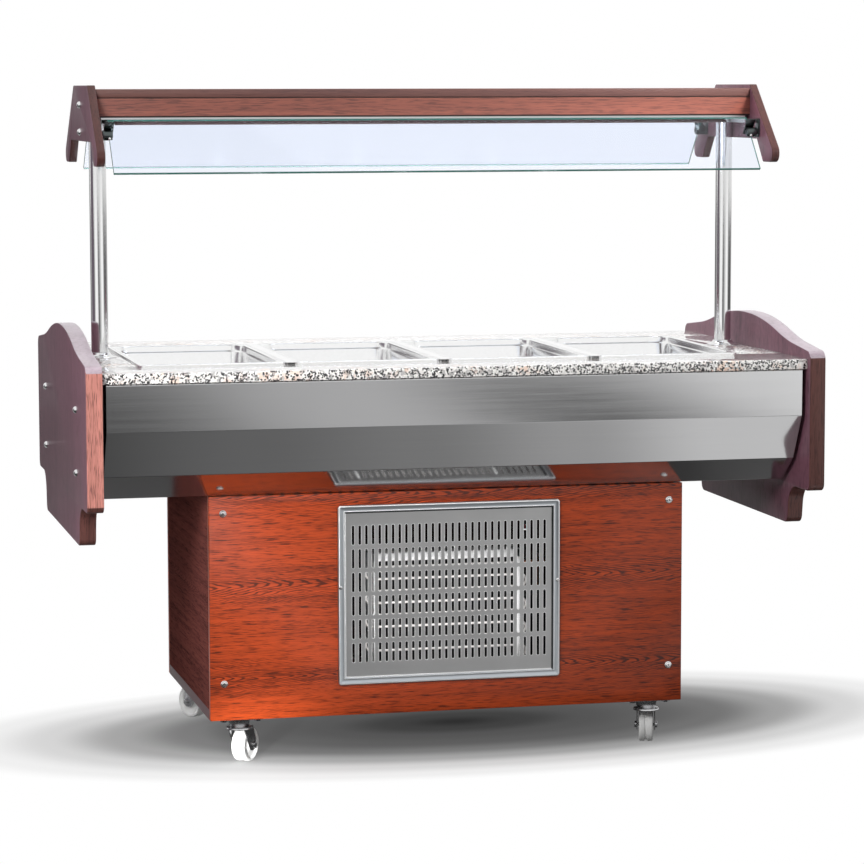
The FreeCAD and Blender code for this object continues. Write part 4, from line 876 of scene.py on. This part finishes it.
def makeGrille():
    values = grilleValues
    middle = middleOf("grille_frame")
    place = seated((middle.x, values["face"], middle.z), (0, -1, 0))
    bm = bmesh.new()
    levels = [
        (values["halfWidth"] - inset, values["halfHeight"] - inset, radius, height)
        for inset, radius, height in values["frame"]
    ]
    lofted(bm, levels, 3)
    bmesh.ops.recalc_face_normals(bm, faces=bm.faces)
    if max(bm.faces, key=lambda face: face.calc_center_median().z).normal.z < 0:
        bmesh.ops.reverse_faces(bm, faces=bm.faces)
    for face in bm.faces:
        middle = face.calc_center_median()
        inset = min(values["halfWidth"] - abs(middle.x), values["halfHeight"] - abs(middle.y))
        # Two thin rings of the frame are painted near white as highlights; the flat inner ring is painted shadow at
        # the top and right, highlight elsewhere.
        face.material_index = 1 if any(low < inset < high for low, high in values["highlightInsets"]) else 0
        if inset > values["ringInset"]:
            toTopOrRight = min(values["halfHeight"] - middle.y, values["halfWidth"] - middle.x)
            face.material_index = 2 if toTopOrRight < values["shadeWithin"] else 1
    bmesh.ops.transform(bm, matrix=place, verts=bm.verts)
    finishesHere = ["grilleSteel", "frameHighlight", "paintedShadeBlack"]
    newPiece("grilleFrame", bm, finishesHere, "grille_frame", 40)
    bm = bmesh.new()
    slots = [
        (
            (column - (values["columns"] - 1) / 2) * values["pitchX"],
            values["firstRise"] - values["halfHeight"] + values["slotHeight"] / 2 + row * values["pitchZ"],
        )
        for column in range(values["columns"])
        for row in range(values["rows"])
    ]
    slottedSheet(
        bm, values["plateHalfWidth"], values["plateHalfHeight"], slots, values["slotWidth"], values["slotHeight"],
        values["sheet"], values["slotRimHighlight"],
    )
    low = min(vert.co.z for vert in bm.verts)
    bmesh.ops.translate(bm, vec=(0, 0, -low - values["sheet"]), verts=bm.verts)
    bmesh.ops.transform(bm, matrix=place, verts=bm.verts)
    finishesHere = ["plateSteel", "slotRimHighlight", "paintedShadeBlack"]
    newPiece("grillePlate", bm, finishesHere, "grille_plate", 40)


makeGrille()


# Screws and domed bolts

screwValues = {
    "panelX": 0.506,
    "panelZ": (0.560, 0.185),
    "face": 0.307,
    "steps": 28,
    "cup": [(0.0058, 0.0), (0.0085, 0.0), (0.0085, 0.0006), (0.0078, 0.0016), (0.0066, 0.0022), (0.0058, 0.0016)],
    "head": [(0.0060, 0.0008), (0.0060, 0.0022), (0.0055, 0.0032), (0.0044, 0.0038), (0.0036, 0.0040)],
    "clipHead": [(0.0045, 0.0), (0.0045, 0.0008), (0.0040, 0.0018), (0.0028, 0.0024), (0.0018, 0.0025)],
    "crossArm": 0.0026,
    "crossWidth": 0.0006,
    "crossDepth": 0.0016,
    "clip": (0.24675, -0.3116, 0.018),  # from the grille frame's middle to a clip screw
    "clipCross": (0.0016, 0.0004, 0.001),
}


def crossHead(bm, profile, arm, width, depth, matrix):
    # A turned head whose flat top has a cross recess sunk in it.
    verts = spun(bm, profile, screwValues["steps"])
    top = max(vert.co.z for vert in verts)
    crown = {vert for vert in verts if abs(vert.co.z - top) < 1e-7}
    ring = [edge for edge in bm.edges if edge.is_boundary and set(edge.verts) <= crown]
    corners = [
        (arm, width), (width, width), (width, arm), (-width, arm), (-width, width), (-arm, width),
        (-arm, -width), (-width, -width), (-width, -arm), (width, -arm), (width, -width), (arm, -width),
    ]
    made = [bm.verts.new((x, y, top)) for x, y in corners]
    cross = [bm.edges.new((a, b)) for a, b in zip(made, made[1:] + made[:1])]
    bmesh.ops.triangle_fill(bm, use_beauty=True, edges=ring + cross, normal=(0, 0, 1))
    sunk = bmesh.ops.extrude_edge_only(bm, edges=cross)["geom"]
    low = ofKind(sunk, bmesh.types.BMVert)
    bmesh.ops.translate(bm, vec=(0, 0, -depth), verts=low)
    bmesh.ops.scale(bm, vec=(0.7, 0.7, 1), verts=low)
    # the cross recess is painted black as shade
    finishFaces(bmesh.ops.contextual_create(bm, geom=ofKind(sunk, bmesh.types.BMEdge))["faces"], 1)
    bmesh.ops.transform(bm, matrix=matrix, verts=verts + made + low)


def makeScrews():
    values = screwValues
    bm = bmesh.new()
    for side in (-1, 1):
        for x in (-values["panelX"], values["panelX"]):
            for z in values["panelZ"]:
                place = seated((x, side * values["face"], z), (0, side, 0)) @ Matrix.Rotation(0.5 + x + z, 4, "Z")
                spun(bm, values["cup"], values["steps"], place)
                crossHead(bm, values["head"], values["crossArm"], values["crossWidth"], values["crossDepth"], place)
    frameMiddle = middleOf("grille_frame")
    aside, face, rise = values["clip"]
    for side in (-1, 1):
        place = seated((frameMiddle.x + side * aside, face, frameMiddle.z + rise), (0, -1, 0))
        crossHead(bm, values["clipHead"], *values["clipCross"], place)
    bmesh.ops.recalc_face_normals(bm, faces=bm.faces)
    newPiece("panelScrews", bm, ["screwSteel", "paintedShadeBlack"], "panel_screws", 40)


boltValues = {
    "x": (0.819, 0.767),
    "panelY": (-0.288, 0.288),
    "panelZ": (0.793, 0.6565),
    "bracketZ": (1.443, 1.383),
    "dome": [
        (0.0080, 0.0), (0.0080, 0.0008), (0.0078, 0.0022), (0.0072, 0.0038), (0.0062, 0.0053), (0.0048, 0.0066),
        (0.0032, 0.0075), (0.0016, 0.0079), (0.0, 0.008),
    ],
}


def makeBolts():
    values = boltValues
    bm = bmesh.new()
    for side in (-1, 1):
        seats = [(side * values["x"][0], y, z) for y in values["panelY"] for z in values["panelZ"]]
        seats += [(side * values["x"][1], 0, z) for z in values["bracketZ"]]
        for seat in seats:
            spun(bm, values["dome"], 24, seated(seat, (side, 0, 0)))
    newPiece("domedBolts", bm, ["chrome"], "dome_bolts", 50)


makeScrews()
makeBolts()
print("grille, screws and bolts ready")


# Posts

postValues = {
    "x": 0.73,
    "tube": [(0.0175, 0.790), (0.0190, 0.790), (0.0190, 1.459), (0.0175, 1.459), (0.0175, 0.790)],
    "collar": [
        (0.0192, 0.0), (0.0370, 0.0), (0.0370, 0.0012), (0.0358, 0.0022), (0.0320, 0.0030), (0.0276, 0.0046),
        (0.0244, 0.0072), (0.0228, 0.0100), (0.0222, 0.0116), (0.0212, 0.0120), (0.0200, 0.0116), (0.0192, 0.0100),
        (0.0192, 0.0),
    ],
}


def makePosts():
    bm = bmesh.new()
    for side, word in ((-1, "left"), (1, "right")):
        tube = bmesh.new()
        spun(tube, postValues["tube"], 64, Matrix.Translation((side * postValues["x"], 0, 0)))
        newPiece("post" + word.title(), tube, ["postChrome"], "post_" + word, 40)
        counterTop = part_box("post_collars")[0].z
        spun(bm, postValues["collar"], 48, Matrix.Translation((side * postValues["x"], 0, counterTop)))
    newPiece("postCollars", bm, ["chrome"], "post_collars", 50)


makePosts()


# Castors

castorValues = {
    # name: X, Y and heading in degrees
    "places": {
        "fl": (-0.467, -0.266, 53), "fr": (0.467, -0.266, 73), "rl": (-0.467, 0.266, 120), "rr": (0.467, 0.266, 60),
    },
    "trail": 0.028,
    "radius": 0.0375,
    "wheel": [
        (0.00405, 0.0150), (0.0100, 0.0158), (0.0118, 0.0150), (0.0128, 0.0128), (0.0160, 0.0118), (0.0270, 0.0118),
        (0.0296, 0.0128), (0.0306, 0.0150), (0.0318, 0.0158), (0.0348, 0.0158), (0.0364, 0.0150), (0.0373, 0.0134),
        (0.0375, 0.0118), (0.0375, 0.0044), (0.0371, 0.0036), (0.0350, 0.0026), (0.0343, 0.0012), (0.0342, 0.0),
    ],
    "race": [
        (0.0290, 0.0806), (0.0296, 0.0790), (0.0290, 0.0776), (0.0262, 0.0770), (0.0250, 0.0784), (0.0262, 0.0800),
        (0.0290, 0.0806),
    ],
}


def makeCastors():
    half = castorValues["wheel"]
    whole = half + [(radius, -height) for radius, height in reversed(half[:-1])] + half[:1]
    for name, (x, y, heading) in castorValues["places"].items():
        place = Matrix.Translation((x, y, 0)) @ Matrix.Rotation(math.radians(heading), 4, "Z")
        hub = Matrix.Translation((castorValues["trail"], 0, castorValues["radius"]))
        axle = hub @ Matrix.Rotation(math.pi / 2, 4, "X")
        bm = bmesh.new()
        spun(bm, whole, 56, place @ axle)
        node = "castor_wheel_" + name
        newPiece("wheel" + name.title(), bm, ["nylon"], node, 45)
        node = "castor_fork_" + name
        bm = softened(node, 0.0007)
        spun(bm, castorValues["race"], 40, place)  # the ball race pressed into the crown
        newPiece("fork" + name.title(), bm, ["zinc"], node, 35)
    newPiece("castorPlates", softened("castor_plates", 0.0005), ["zinc"], "castor_plates", 35)


makeCastors()
print("posts and castors ready")


# Condenser coil

coilValues = {
    "left": -0.160, "right": 0.176, "front": -0.250, "back": -0.204, "foot": 0.106, "top": 0.453, "plate": 0.0015,
    "finFoot": 0.126, "finTop": 0.443, "finFront": -0.2405, "finBack": -0.209, "finPitch": 0.0036, "finSheet": 0.0003,
    "tubeZ": 0.1260, "tubePitch": 0.0268, "tubes": 12, "tubeRadius": 0.0027, "tubeY": -0.24025, "bendReach": 0.012,
    "lip": 0.012, "topLip": 0.018,
}


def tubeAlong(bm, points, radius):
    # A pipe through points, swept as a curve and taken into the mesh.
    curve = bpy.data.curves.new("pipeLine", "CURVE")
    curve.dimensions = "3D"
    curve.bevel_depth = radius
    curve.bevel_resolution = 3
    curve.use_fill_caps = True
    spline = curve.splines.new("POLY")
    spline.points.add(len(points) - 1)
    for point, place in zip(spline.points, points):
        point.co = (*place, 1)
    holder = bpy.data.objects.new("pipeLine", curve)
    bpy.context.scene.collection.objects.link(holder)
    mesh = bpy.data.meshes.new_from_object(holder.evaluated_get(bpy.context.evaluated_depsgraph_get()))
    bm.from_mesh(mesh)
    bpy.data.objects.remove(holder)
    bpy.data.curves.remove(curve)
    bpy.data.meshes.remove(mesh)


def makeCoil():
    values = coilValues
    left, right, front, back = [values[key] for key in ("left", "right", "front", "back")]
    foot, top, sheet, lip = [values[key] for key in ("foot", "top", "plate", "lip")]
    bm = bmesh.new()
    # Two side plates with lips that face the front, and a top plate with its own lip.
    for low, high in (
        ((left, front, foot), (left + sheet, back, top)),
        ((left, front, foot), (left + lip, front + sheet, top)),
        ((right - sheet, front, foot), (right, back, top)),
        ((right - lip, front, foot), (right, front + sheet, top)),
        ((left, front, top - sheet), (right, back, top)),
        ((left, front, top - values["topLip"]), (right, front + sheet, top)),
    ):
        boxed(bm, low, high, 0.0004)
    finishFaces(bm.faces, 1)
    # The fins are painted near black as the shade inside the coil.
    count = int((right - left - 2 * sheet) / values["finPitch"])
    for i in range(count):
        x = left + sheet + (i + 0.5) * values["finPitch"]
        low = (x, values["finFront"], values["finFoot"])
        boxed(bm, low, (x + values["finSheet"], values["finBack"], values["finTop"]))
    # The tubes are painted pale as highlights.
    before = set(bm.faces)
    for row in range(values["tubes"]):
        z = values["tubeZ"] + row * values["tubePitch"]
        tubeAlong(bm, [(left - 0.004, values["tubeY"], z), (right + 0.004, values["tubeY"], z)], values["tubeRadius"])
        if row + 1 < values["tubes"]:
            side, end = (1, right + 0.004) if row % 2 else (-1, left - 0.004)
            points = []
            for turn in range(9):
                angle = math.pi * turn / 8
                points.append((
                    end + side * values["bendReach"] * math.sin(angle), values["tubeY"],
                    z + values["tubePitch"] * (1 - math.cos(angle)) / 2,
                ))
            tubeAlong(bm, points, values["tubeRadius"])
    finishFaces(set(bm.faces) - before, 2)
    finishesHere = ["finShadeBlack", "coilPlate", "tubePaleHighlight", "copper"]
    newPiece("condenserCoil", bm, finishesHere, "condenser_coil", 40)


makeCoil()


# Canopy tray and glass fittings


trayValues = {
    # the lamp housing under the tray, painted dark brown as shade: half its length, how far out its walls may be, its
    # top, and the lips
    "housing": (0.7035, 0.1, 1.4143), "lipDepth": (0.0945, 0.0962), "lipHeight": (1.3982, 1.4040),
}


def makeTray():
    halfLength, halfDepth, top = trayValues["housing"]
    foot, head = trayValues["lipHeight"]
    bm = softened("canopy_tray", 0.0003)
    for face in bm.faces:
        middle = face.calc_center_median()
        inner = abs(middle.y) < halfDepth and middle.z < top and abs(middle.x) < halfLength
        face.material_index = 1 if inner else 0
    before = set(bm.faces)
    for side in (-1, 1):
        near, far = sorted(side * depth for depth in trayValues["lipDepth"])
        boxed(bm, (-halfLength, near, foot), (halfLength, far, head), 0.0004)
    finishFaces(set(bm.faces) - before, 1)
    newPiece("canopyTray", bm, ["satinSteel", "housingShadeBrown"], "canopy_tray")


hingeValues = {
    "x": 0.7285, "strap": (0.021, 0.0018, 0.047), "lean": 42.6, "middle": (0.1845, 1.3902), "screwY": 0.2008,
    "screwZ": 1.3705, "screw": [(0.0034, 0.0), (0.0034, 0.0006), (0.0026, 0.0013), (0.0, 0.0016)],
}


def makeFittings():
    values = hingeValues
    for name, nodeName, side in (("jawsFront", "glass_jaws_front", -1), ("jawsRear", "glass_jaws_rear", 1)):
        bm = softened(nodeName, 0.0008)
        for end in (-1, 1):
            # a strap up the glass and a screw in each jaw
            half = Vector(values["strap"]) / 2
            before = set(bm.verts)
            boxed(bm, -half, half, 0.0005)
            lean = Matrix.Rotation(math.radians(-side * values["lean"]), 4, "X")
            place = Matrix.Translation((end * values["x"], side * values["middle"][0], values["middle"][1])) @ lean
            bmesh.ops.transform(bm, matrix=place, verts=list(set(bm.verts) - before))
            before = set(bm.faces)
            screw = (end * values["x"], side * values["screwY"], values["screwZ"])
            spun(bm, values["screw"], 20, seated(screw, (0, side, 0)))
            finishFaces(set(bm.faces) - before, 1)
        bmesh.ops.recalc_face_normals(bm, faces=bm.faces)
        newPiece(name, bm, ["hingeSteel", "chrome"], nodeName)
    bm = softened("glass_hinge_brackets", 0.0006)
    newPiece("hingePlates", bm, ["hingeSteel"], "glass_hinge_brackets")


makeTray()
makeFittings()


# Controls at the rear

controlValues = {
    "x": 0.33, "z": 0.484, "face": 0.311, "shadeSheetMargin": 0.004, "shadeSheetDepth": (0.2860, 0.2905),
    # the display's frame and its dark window: reach to the left and right, half height, rise, corner radius
    "display": ((0.026, 0.010, 0.010, 0.0006, 0.0004), (0.024, 0.008, 0.0085, 0.0009, 0.0002)),
    "buttonRows": (0.007, 0.0, -0.007), "buttonColumns": (0.018, 0.0285),
    "button": [(0.0, 0.0014), (0.0024, 0.0012), (0.0030, 0.0006), (0.0030, -0.0004)],
    "glandPlace": (0.33, 0.307, 0.149),
    "gland": [
        (0.0046, 0.0181), (0.0062, 0.0181), (0.0074, 0.0172), (0.0080, 0.0150), (0.0088, 0.0140), (0.0088, 0.0092),
        (0.0115, 0.0090), (0.0118, 0.0080), (0.0118, 0.0), (0.0046, 0.0), (0.0046, 0.0181),
    ],
}


def makeVentShadeSheet():
    # A dark sheet behind the rear vent, painted shade that keeps the floor behind from showing through.
    low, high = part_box("rear_vent_plate")
    margin, (near, far) = controlValues["shadeSheetMargin"], controlValues["shadeSheetDepth"]
    bm = bmesh.new()
    boxed(bm, (low.x + margin, near, low.z + margin), (high.x - margin, far, high.z - margin), 0.001)
    newPiece("ventShadeSheet", bm, ["blackPlastic"])


def makeControls():
    bm = softened("controller", 0.0008)
    x, z, face = controlValues["x"], controlValues["z"], controlValues["face"]
    for left, right, halfHeight, rise, edge in controlValues["display"]:
        before = set(bm.faces)
        boxed(bm, (x - left, face - 0.001, z - halfHeight), (x + right, face + rise, z + halfHeight), edge)
    finishFaces(set(bm.faces) - before, 1)
    for height in controlValues["buttonRows"]:
        for column in controlValues["buttonColumns"]:
            spun(bm, controlValues["button"], 16, seated((x + column, face, z + height), (0, 1, 0)))
    newPiece("temperatureControl", bm, ["blackPlastic", "displayDark"], "controller")
    rocker = softened("rocker_switch", 0.0005)
    newPiece("rocker", rocker, ["redPlastic"], "rocker_switch")
    bm = bmesh.new()
    spun(bm, controlValues["gland"], 12, seated(controlValues["glandPlace"], (0, 1, 0)))
    newPiece("cableGland", bm, ["blackPlastic"], "cable_gland", 30)


makeVentShadeSheet()
makeControls()
print("canopy and control pieces ready")


# Nodes that keep their CAD shape

keptNodes = {
    # finish: CAD nodes
    "lensPlastic": ("lamp_lens",),
    "panSteel": ("well_liner", "pan_bars"),
    "tankSteel": ("tank_floor", "tank_ends", "tank_front_skin", "tank_rear_skin"),
    "foam": ("insulation",),
    "framePaint": ("base_frame",),
    "galvanised": ("fan_shroud",),
    "blackPaint": ("fan_motor", "compressor"),
    "aluminium": ("fan_rotor",),
    "copper": ("refrigerant_pipes",),
    "satinSteel": ("rear_vent_plate",),
    "brass": ("drain_pipe",),
    "redPlastic": ("drain_lever",),
}
for finish, nodeNames in keptNodes.items():
    for nodeName in nodeNames:
        nodeMesh = cadNodes[nodeName].data
        nodeMesh.materials.clear()
        nodeMesh.materials.append(finishes[finish])


# Glass


glassHalfWidth = 0.729


def makeGlassScreens():
    for name, nodeName in (("glassFront", "glass_front"), ("glassRear", "glass_rear")):
        bm = softened(nodeName, 0.0006)
        reach = max(vert.co.x for vert in bm.verts)
        bmesh.ops.scale(bm, vec=(glassHalfWidth / reach, 1, 1), verts=bm.verts)
        bm.normal_update()
        broad = max(bm.faces, key=lambda face: face.calc_area()).normal.copy()
        for face in bm.faces:
            face.material_index = 0 if abs(face.normal.dot(broad)) > 0.98 else 1
        newPiece(name, bm, ["clearGlass", "glassEdge"], nodeName, 1)


makeGlassScreens()
print("pieces ready")
